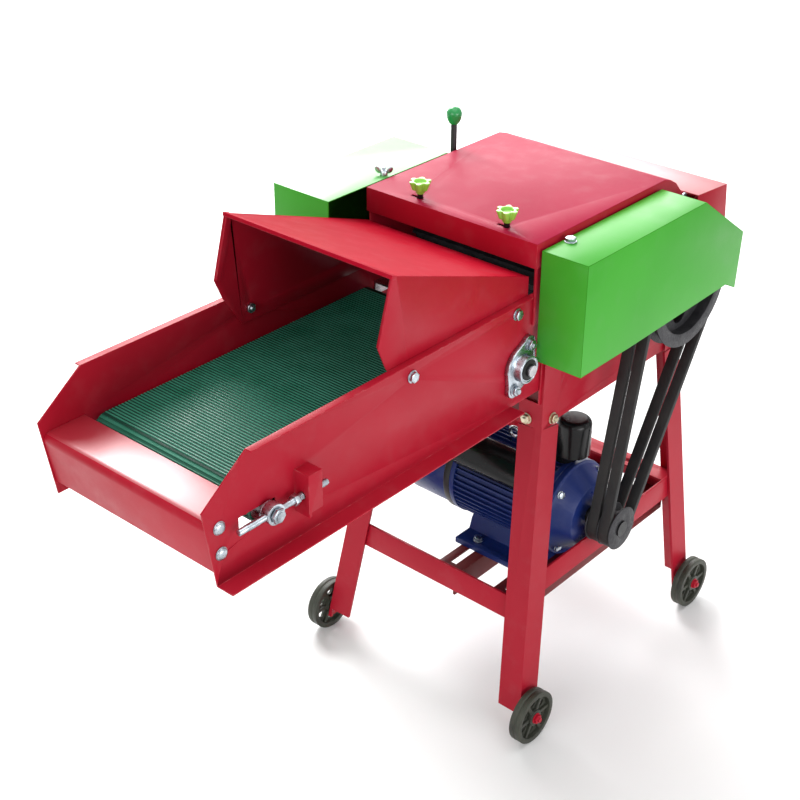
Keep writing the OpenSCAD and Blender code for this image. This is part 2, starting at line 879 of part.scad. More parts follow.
// A chain as two rows of side plates with the rollers between them.
module chain_loop(x, a, ra, b, rb) {
  for (plate_x = [-x - 7.5, -x - 0.3])
    side_plate(plate_x, 1.5) difference() {
      loop_outline(a, ra + link_half_h, b, rb + link_half_h);
      loop_outline(a, ra - link_half_h, b, rb - link_half_h);
    }
  side_plate(-x - 6.5, 6.5) difference() {
    loop_outline(a, ra + roller_half_t, b, rb + roller_half_t);
    loop_outline(a, ra - roller_half_t, b, rb - roller_half_t);
  }
}

// The chain to the belt's drive roller and the chain from the idler shaft.
module drive_chain() {
  color(steel) {
    chain_loop(chain_x, lower_at, sprocket_r, rear_roller_at, sprocket_r);
    chain_loop(driven_x, idler_at, small_sprocket_r, lower_at, sprocket_r);
  }
}

// Blocks that carry the upper roller and slide in the body's slots.
module roller_blocks() {
  color(iron) both_sides() difference() {
    union() {
      block([body_in - 0.5, feed_y - 19.6, upper_at[1] - 19.6],
            [half_w + 1, feed_y + 19.6, upper_at[1] + 19.6]);
      block([half_w + 0.4, feed_y - 26, upper_at[1] - 19.6],
            [half_w + 6, feed_y + 26, upper_at[1] + 19.6]);
      block([half_w + 0.4, feed_y - 26, upper_at[1] - 19.6],
            [half_w + 15, feed_y + 26, upper_at[1] - 16.6]);
      block([body_in - 3.5, feed_y - 26, upper_at[1] - 19.6],
            [body_in - 0.4, feed_y + 26, upper_at[1] + 19.6]);
    }
    bar_x(body_in - 5, 30, upper_at, 10 + bore_gap);
  }
}

// One coil spring along Z, as a single swept tube.
module coil(r, wire_r, height, turns) {
  ring = 6;
  steps = 8 * turns;
  points = [for (i = [0 : steps], j = [0 : ring - 1])
    let (a = i * 360 * turns / steps, b = j * 360 / ring, d = r + wire_r * cos(b))
    [d * cos(a), d * sin(a), wire_r * sin(b) + height * i / steps]];
  sides = [for (i = [0 : steps - 1], j = [0 : ring - 1])
    let (k = (j + 1) % ring, a = i * ring, b = (i + 1) * ring)
    each [[a + j, a + k, b + k], [a + j, b + k, b + j]]];
  start = [[for (j = [0 : ring - 1]) ring - 1 - j]];
  finish = [[for (j = [0 : ring - 1]) steps * ring + j]];
  polyhedron(points, concat(sides, start, finish), convexity = 6);
}

spring_wire = 1.1;
spring_r = 5;
spring_turns = 8;

module roller_springs() {
  height = upper_at[1] - 19.6 - spring_low - 2 * spring_wire - 0.2;
  color(zinc) both_sides() for (y = spring_y)
    translate([spring_x, y, spring_low + spring_wire + 0.1])
      coil(spring_r, spring_wire, height, spring_turns);
}

// Idler shaft with its small gear; the reduction gear runs beside the shift dog.

module idler_shaft() {
  color(steel) {
    bar_x(-reduction_x - gear_w - 6, reduction_x + gear_w + 6 - body_in - 1, idler_at, 10);
    sprocket(driven_x, idler_at, small_sprocket_r, 9);
  }
}

module reduction_gear() {
  color(iron) difference() {
    union() {
      left_gear(reduction_x, idler_at, reduction_teeth, reduction_phase, 10);
      bar_x(-reduction_x - gear_w, gear_w + 3, idler_at, 22);
    }
    bar_x(-reduction_x - gear_w - 1, gear_w + 5, idler_at, 10);
    for (i = [0 : 5])
      translate([-reduction_x - gear_w - 1, idler_at[0], idler_at[1]])
        rotate([30 + i * 60, 0, 0]) translate([0, 0, 54]) rotate([0, 90, 0])
          cylinder(h = gear_w + 2, r = 16);
  }
}

dog_w = 10;
dog_flange = 2.4;

module shift_dog() {
  color(zinc) difference() {
    union() {
      bar_x(-dog_x - dog_w, dog_w, idler_at, 13.6);
      bar_x(-dog_x - dog_w, dog_flange, idler_at, 17);
      bar_x(-dog_x - dog_flange, dog_flange, idler_at, 17);
    }
    bar_x(-dog_x - 20, 30, idler_at, 10 + bore_gap);
  }
}

// The lever turns on a pin beside the body and its fork hangs over the dog's groove.
lever_x = half_w + 15;
lever_pivot_z = 712;
lever_y = round(idler_at[0]) + 24;
ball_z = 818;
fork_x = dog_x + dog_w / 2;

module shift_lever() {
  arm_low = idler_at[1] + 24;
  mid_y = idler_at[0];
  fork_t = 1.5;
  color(black) difference() {
    union() {
      bar_y(lever_y - 6, 12, [-lever_x, lever_pivot_z], 7);
      translate([-lever_x, lever_y, lever_pivot_z]) cylinder(h = ball_z - lever_pivot_z - 3, r = 4.5);
      translate([0, lever_y + 5, 0]) rotate([90, 0, 0]) linear_extrude(10) polygon([
        [-lever_x, lever_pivot_z - 5], [-lever_x, lever_pivot_z + 4],
        [-fork_x - fork_t, lever_pivot_z + 4], [-fork_x - fork_t, arm_low],
        [-fork_x + fork_t, arm_low], [-fork_x + fork_t, lever_pivot_z - 5]
      ]);
      side_plate(-fork_x - fork_t, 2 * fork_t) polygon([
        [mid_y - 21, arm_low + 7], [lever_y + 5, arm_low + 7], [lever_y + 5, arm_low],
        [mid_y + 21, arm_low], [mid_y + 21, arm_low - 32], [mid_y + 15, arm_low - 32], [mid_y + 15, arm_low], [mid_y - 15, arm_low],
        [mid_y - 15, arm_low - 32], [mid_y - 21, arm_low - 32]
      ]);
    }
    bar_y(lever_y - 8, 16, [-lever_x, lever_pivot_z], 3 + bore_gap);
  }
}

module lever_ball() {
  color([0.12, 0.55, 0.30]) difference() {
    translate([-lever_x, lever_y, ball_z]) rotate_extrude() egg_outline();
    translate([-lever_x, lever_y, ball_z - 20]) cylinder(h = 17, r = 4.5);
  }
}

// Half outline of the lever's knob, narrower below.
module egg_outline() {
  r = 11.5;
  low = 17;
  polygon(concat([[0, -low * sin(60)]], [for (a = [-60 : 10 : 80])
    [r * cos(a), (a < 0 ? low : r) * sin(a)]], [[0, r]]));
}

// Belt table.

rib_inset = 1.5;

// A rib across the belt, standing on the belt's outer face at [0, 0].
module belt_rib() {
  rib_w = rib_pitch * 0.55;
  polygon([[-rib_w / 2, -1], [-rib_w / 2 + 0.5, rib_h], [rib_w / 2 - 0.5, rib_h], [rib_w / 2, -1]]);
}

module conveyor_belt() {
  half = panel_in - 6;
  inner_f = front_roller_r + turn_gap;
  inner_r = rear_roller_r + turn_gap;
  run = rear_roller_at[0] - front_roller_at[0];
  count = floor(run / rib_pitch);
  slope = atan2((rear_roller_at[1] - rear_roller_r) - (front_roller_at[1] - front_roller_r), run);
  nose_step = rib_pitch / (front_roller_r + belt_t) * 180 / PI;
  color(belt_green) {
    side_plate(-half, 2 * half) difference() {
      loop_outline(front_roller_at, front_roller_r + belt_t, rear_roller_at, rear_roller_r + belt_t);
      loop_outline(front_roller_at, inner_f, rear_roller_at, inner_r);
    }
    side_plate(-half + rib_inset, 2 * (half - rib_inset)) {
      for (i = [0 : count])
        translate([front_roller_at[0] + i * rib_pitch, belt_z]) belt_rib();
      for (i = [1 : floor(172 / nose_step)])
        translate(front_roller_at) rotate(i * nose_step)
          translate([0, front_roller_r + belt_t]) belt_rib();
      for (i = [1 : count - 1])
        translate(front_roller_at) rotate(slope)
          translate([i * rib_pitch, -front_roller_r - belt_t]) rotate(180) belt_rib();
    }
  }
}

roller_half = 134;

module drive_roller() {
  color(steel) {
    bar_x(-roller_half, 2 * roller_half, rear_roller_at, rear_roller_r);
    bar_x(-chain_x - 8, chain_x + 8 + half_w + 22, rear_roller_at, 8);
    sprocket(chain_x, rear_roller_at, sprocket_r, 7);
  }
}

module tension_roller() {
  color(steel) {
    bar_x(-roller_half, 2 * roller_half, front_roller_at, front_roller_r);
    bar_x(-panel_out - 21, 2 * panel_out + 42, front_roller_at, 7);
  }
}

module belt_bed() {
  front = front_roller_at[0] + front_roller_r + 10;
  back = rear_roller_at[0] - rear_roller_r - 6;
  top_z = belt_z - belt_t - 1;
  color(red) {
    block([-panel_in, front, top_z - 2], [panel_in, back, top_z]);
    both_sides() block([panel_in - 2, front, top_z - 14], [panel_in, back, top_z - 1]);
  }
}

// Two-bolt flange bearings of the belt's drive roller, on the outside of the trough.
module flange_bearings() {
  color(zinc) both_sides() difference() {
    union() {
      side_plate(panel_out, 7) translate(rear_roller_at) rotate(62) {
        circle(29);
        for (s = [-1, 1]) translate([s * 32, 0]) circle(12);
        polygon([[-14, 26], [-34, 11.5], [-34, -11.5], [-14, -26], [14, -26], [34, -11.5], [34, 11.5], [14, 26]]);
      }
      bar_x(panel_out, 18, rear_roller_at, 19);
    }
    bar_x(panel_out - 1, 30, rear_roller_at, 8 + bore_gap);
    translate([panel_out + 13, rear_roller_at[0], rear_roller_at[1]]) rotate([0, 90, 0])
      difference() {
        cylinder(h = 6, r = 16);
        translate([0, 0, -1]) cylinder(h = 8, r = 12);
      }
  }
}

eye_x = panel_out + 12;
slack = 8;
lug_y = front_roller_at[0] + 50;
lug_len = 18;

// Eye bolts that carry the front roller and pull it forward against the lugs.
module tension_screws() {
  at = front_roller_at;
  color(zinc) both_sides() difference() {
    union() {
      bar_x(eye_x - 6, 12, at, 13);
      bar_y(at[0] + 10, lug_y + 36 - at[0] - 10, [eye_x, at[1]], 4);
      hex_y(lug_y + 5, 7, [eye_x, at[1]], 13);
      hex_y(lug_y - 11 - slack, 7, [eye_x, at[1]], 13);
      bar_y(at[0] - 52, 42, [eye_x, at[1]], 4);
    }
    bar_x(eye_x - 8, 16, at, 7 + bore_gap);
  }
}

// Trough sides with their folded lips, tension lugs and slots.
module trough_side(flange_front) {
  lip_front = trough_front + 68;
  color(red) {
    difference() {
      side_plate(panel_in, sheet_t) polygon([
        [trough_front + front_slant, panel_bottom], [trough_front, panel_top - 50],
        [lip_front, panel_top],
        [panel_end, panel_top], [panel_end, panel_bottom]
      ]);
      side_bolt_bores();
      side_plate(panel_in - 1, sheet_t + 2) {
        translate([front_roller_at[0] - 40, front_roller_at[1] - 8]) square([48 + slack, 16]);
        translate(rear_roller_at) circle(14);
      }
    }
    block([panel_out - 1, lip_front, panel_top - sheet_t], [panel_out + 8, -6, panel_top]);
    block([panel_out - 1, flange_front, panel_bottom],
          [panel_out + 24, -34, panel_bottom + sheet_t]);
    difference() {
      union() {
        block([panel_out - 0.5, lug_y - 4, front_roller_at[1] - 26],
              [panel_out + 23, lug_y, front_roller_at[1] + 30]);
        block([panel_out - 0.5, lug_y - 1, front_roller_at[1] + 27],
              [panel_out + 23, lug_y + lug_len, front_roller_at[1] + 30]);
        block([panel_out + 20.2, lug_y - 1, front_roller_at[1] - 20],
              [panel_out + 23, lug_y + lug_len, front_roller_at[1] + 30]);
      }
      bar_y(lug_y - 6, 12, [eye_x, front_roller_at[1]], 5);
    }
  }
}

module trough_side_right() {
  trough_side(trough_front + front_slant);
}

module trough_side_left() {
  mirror([1, 0, 0]) trough_side(trough_front + 40);
}

nose_y = [trough_front + 5, trough_front + 66];
nose_z = [belt_z - 65, belt_z + 5];
nose_slant = 10;

module nose_outline(inset) {
  r = 10;
  translate([nose_y[0] + r, nose_z[1] - r]) circle(r - inset);
  polygon([
    [nose_y[0] + nose_slant + inset, nose_z[0]], [nose_y[0] + inset, nose_z[1] - r],
    [nose_y[0] + r, nose_z[1] - r], [nose_y[0] + r, nose_z[1] - inset],
    [nose_y[1], nose_z[1] - inset], [nose_y[1], nose_z[0]]
  ]);
}

module nose_box() {
  tab_back = trough_front + 35;
  color(red) {
    side_plate(-panel_in, 2 * panel_in) difference() {
      nose_outline(0);
      intersection() {
        nose_outline(sheet_t);
        translate([nose_y[0] - 5, nose_z[0] + sheet_t])
          square([nose_y[1] - nose_y[0] + 5 - sheet_t, 200]);
      }
      translate([nose_y[0] + 28, nose_z[0] - 1]) square([60, nose_z[1] - nose_z[0] - 17]);
    }
    difference() {
      both_sides() side_plate(panel_in - sheet_t, sheet_t) polygon([
        [nose_y[0] + nose_slant - 1, nose_z[0] + 12], [nose_y[0] + 1, nose_z[1] - 11],
        [nose_y[0] + 2, nose_z[1] - 6], [tab_back, nose_z[1] - 6], [tab_back, nose_z[0] + 12]
      ]);
      side_bolt_bores();
    }
  }
}

hood_mouth = [-270, 817];
hood_rear = [-5, 724];

module feed_hood() {
  foot = panel_top - 43;
  jaw = [hood_mouth[0] - 24, panel_top + 34];
  along_top = (hood_rear - hood_mouth) / norm(hood_rear - hood_mouth);
  below = [along_top[1], -along_top[0]];
  color(red) {
    difference() {
      both_sides() side_plate(panel_in - sheet_t, sheet_t) polygon([
        hood_mouth, hood_rear, [hood_rear[0], foot], [hood_mouth[0] + 20, foot],
        [hood_mouth[0] - 11, panel_top + 4], jaw
      ]);
      side_bolt_bores();
    }
    side_plate(-panel_in + 0.5, 2 * panel_in - 1) polygon([
      hood_mouth + 0.3 * below, hood_rear + 0.3 * below,
      hood_rear + (sheet_t + 0.3) * below, hood_mouth + (sheet_t + 0.3) * below
    ]);
    side_plate(-panel_in - 0.6, 2 * panel_in + 1.2) polygon([
      hood_mouth - along_top - below, hood_mouth + 8 * along_top - below,
      hood_mouth + 8 * along_top + 4 * below, hood_mouth - along_top + 4 * below
    ]);
    both_sides() side_plate(panel_in - 4.5, 3) polygon([
      hood_mouth + [1, -3], jaw + [1, 1], jaw + [9, -1], hood_mouth + [10, -6]
    ]);
  }
}

// Motor.

motor_shaft_r = 12;
motor_x0 = -55;
motor_x1 = 118;
shield_x1 = 156;
fan_x0 = -142;
motor_eye_x = 10;
box_turn = 42;
box_end = 74;

module motor_housing() {
  foot_y = 100;
  foot_t = 9;
  fin_count = 48;
  color(blue) {
    difference() {
      union() {
        bar_x(motor_x0, motor_x1 - motor_x0, motor_at, motor_r - 7);
        for (i = [0 : fin_count - 1])
          translate([motor_x0 + 4, motor_at[0], motor_at[1]]) rotate([i * 360 / fin_count, 0, 0])
            translate([0, -1.1, motor_r - 10]) cube([motor_x1 - motor_x0 - 8, 2.2, 8.5]);
        bar_x(motor_x0, 8, motor_at, motor_r);
        bar_x(motor_x1 - 8, 8, motor_at, motor_r);
      }
      bar_x(motor_x0 - 1, motor_x1 - motor_x0 + 2, motor_at, motor_r - 14);
    }
    difference() {
      side_plate(-20, 136) difference() {
        polygon([
          [motor_at[0] - foot_y, rail_top_z], [motor_at[0] + foot_y, rail_top_z],
          [motor_at[0] + foot_y, rail_top_z + foot_t], [motor_at[0] + foot_y - 34, rail_top_z + foot_t],
          [motor_at[0] + foot_y - 40, rail_top_z + 26], [motor_at[0] + 52, motor_at[1] - 42],
          [motor_at[0] - 52, motor_at[1] - 42], [motor_at[0] - foot_y + 40, rail_top_z + 26],
          [motor_at[0] - foot_y + 34, rail_top_z + foot_t], [motor_at[0] - foot_y, rail_top_z + foot_t]
        ]);
        translate(motor_at) circle(motor_r - 9);
      }
      for (s = [-1, 1], x = [12, 104])
        translate([x, motor_at[0] + s * (foot_y - 17), rail_top_z - 1]) cylinder(h = foot_t + 2, r = 5.2);
    }
    translate([motor_eye_x, motor_at[0], motor_at[1] + motor_r + 9]) rotate([90, 0, 0])
      rotate_extrude() translate([8.5, 0]) circle(2.5, $fn = 24);
    translate([motor_eye_x, motor_at[0], motor_at[1] + motor_r - 12]) cylinder(h = 15, r = 4);
  }
}

module motor_end_shields() {
  color(blue) {
    difference() {
      union() {
        bar_x(motor_x1, 10, motor_at, motor_r);
        translate([motor_x1 + 10, motor_at[0], motor_at[1]]) rotate([0, 90, 0])
          cylinder(h = shield_x1 - motor_x1 - 10, r1 = motor_r - 4, r2 = 48);
      }
      bar_x(motor_x1 - 1, 8, motor_at, motor_r - 9);
      bar_x(motor_x1 - 1, 60, motor_at, motor_shaft_r + turn_gap);
    }
    difference() {
      bar_x(motor_x0 - 12, 12, motor_at, motor_r);
      bar_x(motor_x0 - 7, 8, motor_at, motor_r - 9);
      bar_x(motor_x0 - 20, 30, motor_at, motor_shaft_r + turn_gap);
    }
  }
}

module fan_cover() {
  color(blue) difference() {
    bar_x(fan_x0, motor_x0 - 12 - fan_x0, motor_at, motor_r - 3);
    bar_x(fan_x0 + 2, motor_x0 - fan_x0, motor_at, motor_r - 5);
    for (ring = [22, 40, 55]) for (i = [0 : ring / 3])
      translate([fan_x0 - 1, motor_at[0], motor_at[1]]) rotate([i * 360 / (floor(ring / 3) + 1), 0, 0])
        translate([0, 0, ring]) rotate([0, 90, 0]) cylinder(h = 6, r = 5, $fn = 24);
  }
}

// Shaft, core and fan, which turn together.
module motor_rotor() {
  color(steel) bar_x(fan_x0 + 12, pulley_x + pulley_w + 2 - fan_x0 - 12, motor_at, motor_shaft_r);
  color(iron) bar_x(motor_x0 + 25, motor_x1 - motor_x0 - 50, motor_at, 38);
  color(black) {
    bar_x(fan_x0 + 14, 30, motor_at, 18);
    for (i = [0 : 6]) translate([fan_x0 + 14, motor_at[0], motor_at[1]])
      rotate([i * 360 / 7, 0, 0]) translate([0, -1.5, 10]) cube([26, 3, 48]);
  }
}

// Black covers: the long one on the front shoulder, the round one beside the shield.
module capacitor_covers() {
  color(black) {
    difference() {
      translate([0, motor_at[0], motor_at[1]]) rotate([box_turn, 0, 0]) {
        block([motor_x0 + 6, -27, motor_r - 14], [box_end, 27, motor_r + 20]);
        translate([0, 0, motor_r + 20]) side_plate(motor_x0 + 6, box_end - motor_x0 - 6) intersection() {
          translate([0, -32]) circle(42);
          translate([-27, -1]) square([54, 20]);
        }
      }
      bar_x(-60, 200, motor_at, motor_r - 7);
      motor_fin_room();
    }
    difference() {
      union() {
        translate([104, motor_at[0] + 2, motor_at[1] + 40]) cylinder(h = 58, r = 16);
        translate([116, motor_at[0] + 2, motor_at[1] + 92]) rotate_extrude() {
          square([26, 50]);
          square([16, 60]);
          translate([16, 50]) intersection() {
            circle(10);
            square([10, 10]);
          }
        }
        bar_y(motor_at[0] + 20, 20, [116, motor_at[1] + 112], 8);
      }
      bar_x(-60, 240, motor_at, motor_r - 7);
      motor_fin_room();
    }
  }
}

// Space kept clear round the fins and end rings.
module motor_fin_room() {
  bar_x(motor_x0 - 20, motor_x1 - motor_x0 + 40, motor_at, motor_r + 0.3);
}

// Bolts along X on each side: [y, z], outer face, grip and radius.
side_bolts = [
  [[-236, panel_top - 24], panel_out, 2 * sheet_t, 4],
  [[-30, panel_top - 18], panel_out, 2 * sheet_t, 3],
  [[trough_front + 24, belt_z - 42], panel_out, 2 * sheet_t, 4],
  [[trough_front + 23, belt_z - 8], panel_out, 2 * sheet_t, 4],
  [[leg_front_y + 24, body_z + 11], leg_out, leg_t + plate_t, 4],
  [[leg_rear_y - 24, body_z + 26], leg_out, leg_t + plate_t, 4]
];

// Bolts along Y through the legs' inner flanges and the cross plates.
cross_bolt_x = half_w - 22;
cross_bolt_z = body_z + 11;

module side_bolt_bores() {
  both_sides() for (b = side_bolts) bar_x(b[1] - b[2] - 1, b[2] + 2, b[0], b[3]);
}

// Every bolt, nut and rivet that only holds, and the wheels' axle bolts.
module fasteners() {
  color(zinc) {
    for (s = [1, -1], b = side_bolts) bolt_x(b[1], s, b[0], b[2], b[3]);
    both_sides() for (end = [[leg_front_y, 1], [leg_rear_y, -1]])
      translate([cross_bolt_x, end[0], cross_bolt_z]) rotate([-90 * end[1], 0, 0]) {
        translate([0, 0, -1.5]) cylinder(h = 1.5, r = 8);
        translate([0, 0, -6]) cylinder(h = 4.5, r = 7.4, $fn = 6);
        cylinder(h = leg_t + 3, r = 4);
        translate([0, 0, leg_t + 3]) cylinder(h = 4, r = 7.4, $fn = 6);
      }
    for (s = [-1, 1]) both_sides() {
      a = rear_roller_at + s * 32 * [cos(62), sin(62)];
      bar_x(panel_out + 7, 1.2, a, 7);
      hex_x(panel_out + 8.2, 4, a, 11);
    }
    translate([half_w + 16, 53, 760]) {
      cylinder(h = 1.2, r = 6.5);
      cylinder(h = 5.5, r = 5.5, $fn = 6);
    }
    translate([-half_w - 17, 53, 767]) {
      cylinder(h = 5, r = 4.5);
      for (s = [-1, 1]) translate([s * 8, 0, 6]) rotate([90, 0, 0])
        translate([0, 0, -1]) cylinder(h = 2, r = 6);
    }
  }
  color(red) for (side = [1, -1], rear = [false, true]) {
    at = wheel_at(rear);
    mirror([side < 0 ? 1 : 0, 0, 0]) {
      bar_x(at[0] - wheel_gap - leg_t - 8, wheel_w + wheel_gap + leg_t + 10, [at[1], axle_z], axle_r);
      hex_x(at[0] + wheel_w + 1, 5, [at[1], axle_z], 15);
      hex_x(at[0] - wheel_gap - leg_t - 6.5, 5, [at[1], axle_z], 12.5);
    }
  }
}

place() front_legs();
place() rear_legs();
place() front_crossbar();
place() rear_crossbar();
place() side_crossbars();
place() motor_rails();
place() wheel_front_right();
place() wheel_front_left();
place() wheel_rear_right();
place() wheel_rear_left();
place() body_side_right();
place() body_side_left();
place() rotor_shroud();
place() cross_plates();
place() fixed_blade();
place() feed_plate();
place() lid_bar();
place() lid();
place() lid_pin();
place() star_knob_left();
place() star_knob_right();
place() discharge_hood();
place() belt_cover();
place() gear_cover();
place() fasteners();
place() rotor_shaft();
place() rotor_drum();
place() rotor_blades();
place() rotor_bearings();
place() main_pulley();
place() lower_feed_roller();
place() upper_feed_roller();
place() lower_gears();
place() upper_gear();
place() roller_blocks();
place() roller_springs();
place() idler_shaft();
place() reduction_gear();
place() shift_dog();
place() shift_lever();
place() lever_ball();
place() conveyor_belt();
place() drive_roller();
place() tension_roller();
place() belt_bed();
place() flange_bearings();
place() drive_chain();
place() tension_screws();
place() trough_side_right();
place() trough_side_left();
place() nose_box();
place() feed_hood();
place() motor_housing();
place() motor_end_shields();
place() fan_cover();
place() motor_rotor();
place() capacitor_covers();
place() motor_pulley();
place() v_belts();
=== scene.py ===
# %% [markdown]
# # Straw crusher
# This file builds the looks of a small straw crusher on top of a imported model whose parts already
# have their sizes and joints. Lengths are in metres: X runs across the machine, Y runs along the
# feed towards the discharge, and Z is up from the floor.

# %% Start
import math

import bmesh
import bpy
from mathutils import Matrix, Vector
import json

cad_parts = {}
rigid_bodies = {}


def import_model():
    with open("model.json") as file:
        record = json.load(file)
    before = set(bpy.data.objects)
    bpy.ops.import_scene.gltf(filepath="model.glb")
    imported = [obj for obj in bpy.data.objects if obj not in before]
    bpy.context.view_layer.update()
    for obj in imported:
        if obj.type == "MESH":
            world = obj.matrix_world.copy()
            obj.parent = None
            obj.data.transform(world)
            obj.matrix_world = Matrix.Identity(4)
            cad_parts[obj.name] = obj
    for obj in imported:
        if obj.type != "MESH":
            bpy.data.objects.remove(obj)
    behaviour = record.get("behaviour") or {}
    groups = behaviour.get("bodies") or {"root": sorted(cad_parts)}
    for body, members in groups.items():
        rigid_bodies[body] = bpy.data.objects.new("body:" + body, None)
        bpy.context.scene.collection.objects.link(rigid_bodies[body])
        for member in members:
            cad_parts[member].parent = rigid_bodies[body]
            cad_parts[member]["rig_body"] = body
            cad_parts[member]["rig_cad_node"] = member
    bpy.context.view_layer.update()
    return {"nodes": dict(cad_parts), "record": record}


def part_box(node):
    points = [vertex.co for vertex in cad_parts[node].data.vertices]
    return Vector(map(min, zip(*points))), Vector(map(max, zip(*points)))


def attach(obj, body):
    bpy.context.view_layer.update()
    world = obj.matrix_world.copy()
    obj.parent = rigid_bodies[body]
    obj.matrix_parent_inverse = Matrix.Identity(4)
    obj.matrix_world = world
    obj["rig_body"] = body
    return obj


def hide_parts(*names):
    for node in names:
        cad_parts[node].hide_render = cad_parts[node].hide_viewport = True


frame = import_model()

body_of_node = {}
for body_name, node_names in frame["record"]["behaviour"]["bodies"].items():
    for node_name in node_names:
        body_of_node[node_name] = body_name
slot_of_node = {s["node"]: s["material_slot"] for s in frame["record"]["subparts"]}

# %% [markdown]
# The camera stands to the right of the feed trough and looks down on the machine. Its place and
# turn come from matching many corners of the photographed machine at once, so the model and the
# photograph can be laid over each other.

# %% Camera
camera_data = bpy.data.cameras.new("photo_camera")
camera_data.sensor_width = 36.0
camera_data.lens = 66.69
camera_data.clip_end = 50.0
camera = bpy.data.objects.new("photo_camera", camera_data)
camera.location = (1.16518, -1.35201, 1.53292)
camera.rotation_euler = (math.radians(60.0932), math.radians(-0.2927), math.radians(41.1998))
bpy.context.scene.collection.objects.link(camera)
bpy.context.scene.camera = camera
bpy.context.scene.view_settings.view_transform = "Standard"
print("camera at", tuple(round(v, 3) for v in camera.location))

# %% [markdown]
# The machine stands on a plain pale floor in soft light. The background is white for the camera,
# for mirror-like reflections and for light passing through; to all other rays it gives a dimmer
# white, a soft fill on the painted sheets.

# %% World and floor
world = bpy.data.worlds.new("studio")
bpy.context.scene.world = world
world.use_nodes = True
world_nodes = world.node_tree.nodes
world_links = world.node_tree.links
world_nodes.clear()
world_out = world_nodes.new("ShaderNodeOutputWorld")
seen_white = world_nodes.new("ShaderNodeBackground")
seen_white.inputs["Color"].default_value = (1.0, 1.0, 1.0, 1.0)
seen_white.inputs["Strength"].default_value = 1.0
soft_fill = world_nodes.new("ShaderNodeBackground")
soft_fill.inputs["Color"].default_value = (1.0, 1.0, 1.0, 1.0)
soft_fill.inputs["Strength"].default_value = 0.40
light_path = world_nodes.new("ShaderNodeLightPath")
either = world_nodes.new("ShaderNodeMath")
either.operation = "MAXIMUM"
either_more = world_nodes.new("ShaderNodeMath")
either_more.operation = "MAXIMUM"
world_mix = world_nodes.new("ShaderNodeMixShader")
world_links.new(light_path.outputs["Is Camera Ray"], either.inputs[0])
world_links.new(light_path.outputs["Is Glossy Ray"], either.inputs[1])
world_links.new(either.outputs[0], either_more.inputs[0])
world_links.new(light_path.outputs["Is Transmission Ray"], either_more.inputs[1])
world_links.new(either_more.outputs[0], world_mix.inputs[0])
world_links.new(soft_fill.outputs[0], world_mix.inputs[1])
world_links.new(seen_white.outputs[0], world_mix.inputs[2])
world_links.new(world_mix.outputs[0], world_out.inputs["Surface"])

bpy.ops.object.select_all(action="DESELECT")
bpy.ops.mesh.primitive_plane_add(size=80.0, location=(0.0, 0.0, -0.0005))
floor = bpy.context.active_object
floor.name = "floor"
floor_paint = bpy.data.materials.new("pale_floor")
floor_paint.use_nodes = True
floor_shader = floor_paint.node_tree.nodes["Principled BSDF"]
floor_shader.inputs["Base Color"].default_value = (0.93, 0.93, 0.93, 1.0)
floor_shader.inputs["Roughness"].default_value = 0.9
floor_shader.inputs["Specular IOR Level"].default_value = 0.1
floor.data.materials.append(floor_paint)
floor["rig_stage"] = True
print("floor", floor.dimensions[:])

# %% [markdown]
# Five soft boxes light the machine: one in front, one on the drive side, a large one above that
# makes level sheets brighter than upright ones, and two far behind. Those two stand where the
# camera sees them mirrored in level paint, which gives the covers and the nose their pale shine.

# %% Lights
def soft_box(name, place, target, size, power):
    data = bpy.data.lights.new(name, "AREA")
    data.shape = "RECTANGLE"
    data.size, data.size_y = size
    data.energy = power
    lamp = bpy.data.objects.new(name, data)
    lamp.location = place
    aim = Vector(target) - Vector(place)
    lamp.rotation_euler = aim.to_track_quat("-Z", "Y").to_euler()
    bpy.context.scene.collection.objects.link(lamp)
    return lamp


soft_box("front_box", (0.3, -3.2, 1.7), (0.0, 0.0, 0.5), (2.2, 1.6), 36.0)
soft_box("side_box", (3.2, -0.3, 1.05), (0.0, 0.0, 0.55), (2.6, 1.3), 44.0)
soft_box("sky_box", (0.2, 0.1, 3.3), (0.0, 0.0, 0.5), (2.6, 2.6), 36.0)
soft_box("shine_box", (-2.95, 2.55, 2.55), (0.0, 0.0, 0.7), (4.6, 2.9), 200.0)
soft_box("nose_shine_box", (-2.9, 1.45, 3.45), (0.0, -0.5, 0.65), (1.9, 1.5), 150.0)

# %% [markdown]
# Sprayed paint on sheet iron is never even: the coat is thicker in some places, it is rubbed
# dull where hands and straw touch it, and the thin sheet under it is slightly wavy. Noise on the
# piece's own coordinates gives the tint, the rubbed spots and the gloss, and two bumps in a row
# give the slow waves of the sheet and the fine orange peel of the paint.

# %% Paint
def noise_at(tree, place, scale, detail):
    noise = tree.nodes.new("ShaderNodeTexNoise")
    noise.inputs["Scale"].default_value = scale
    noise.inputs["Detail"].default_value = detail
    noise.inputs["Roughness"].default_value = 0.55
    tree.links.new(place, noise.inputs["Vector"])
    return noise.outputs["Fac"]


def between(tree, factor, low, high):
    ramp = tree.nodes.new("ShaderNodeMapRange")
    ramp.inputs["From Min"].default_value = 0.3
    ramp.inputs["From Max"].default_value = 0.7
    ramp.inputs["To Min"].default_value = low
    ramp.inputs["To Max"].default_value = high
    tree.links.new(factor, ramp.inputs["Value"])
    return ramp.outputs["Result"]


def mixed(tree, factor, first, second):
    mix = tree.nodes.new("ShaderNodeMix")
    mix.data_type = "RGBA"
    for socket, value in ((mix.inputs[0], factor), (mix.inputs[6], first), (mix.inputs[7], second)):
        if hasattr(value, "is_output"):
            tree.links.new(value, socket)
        elif isinstance(value, (int, float)):
            socket.default_value = value
        else:
            socket.default_value = (*value, 1.0)
    return mix.outputs[2]


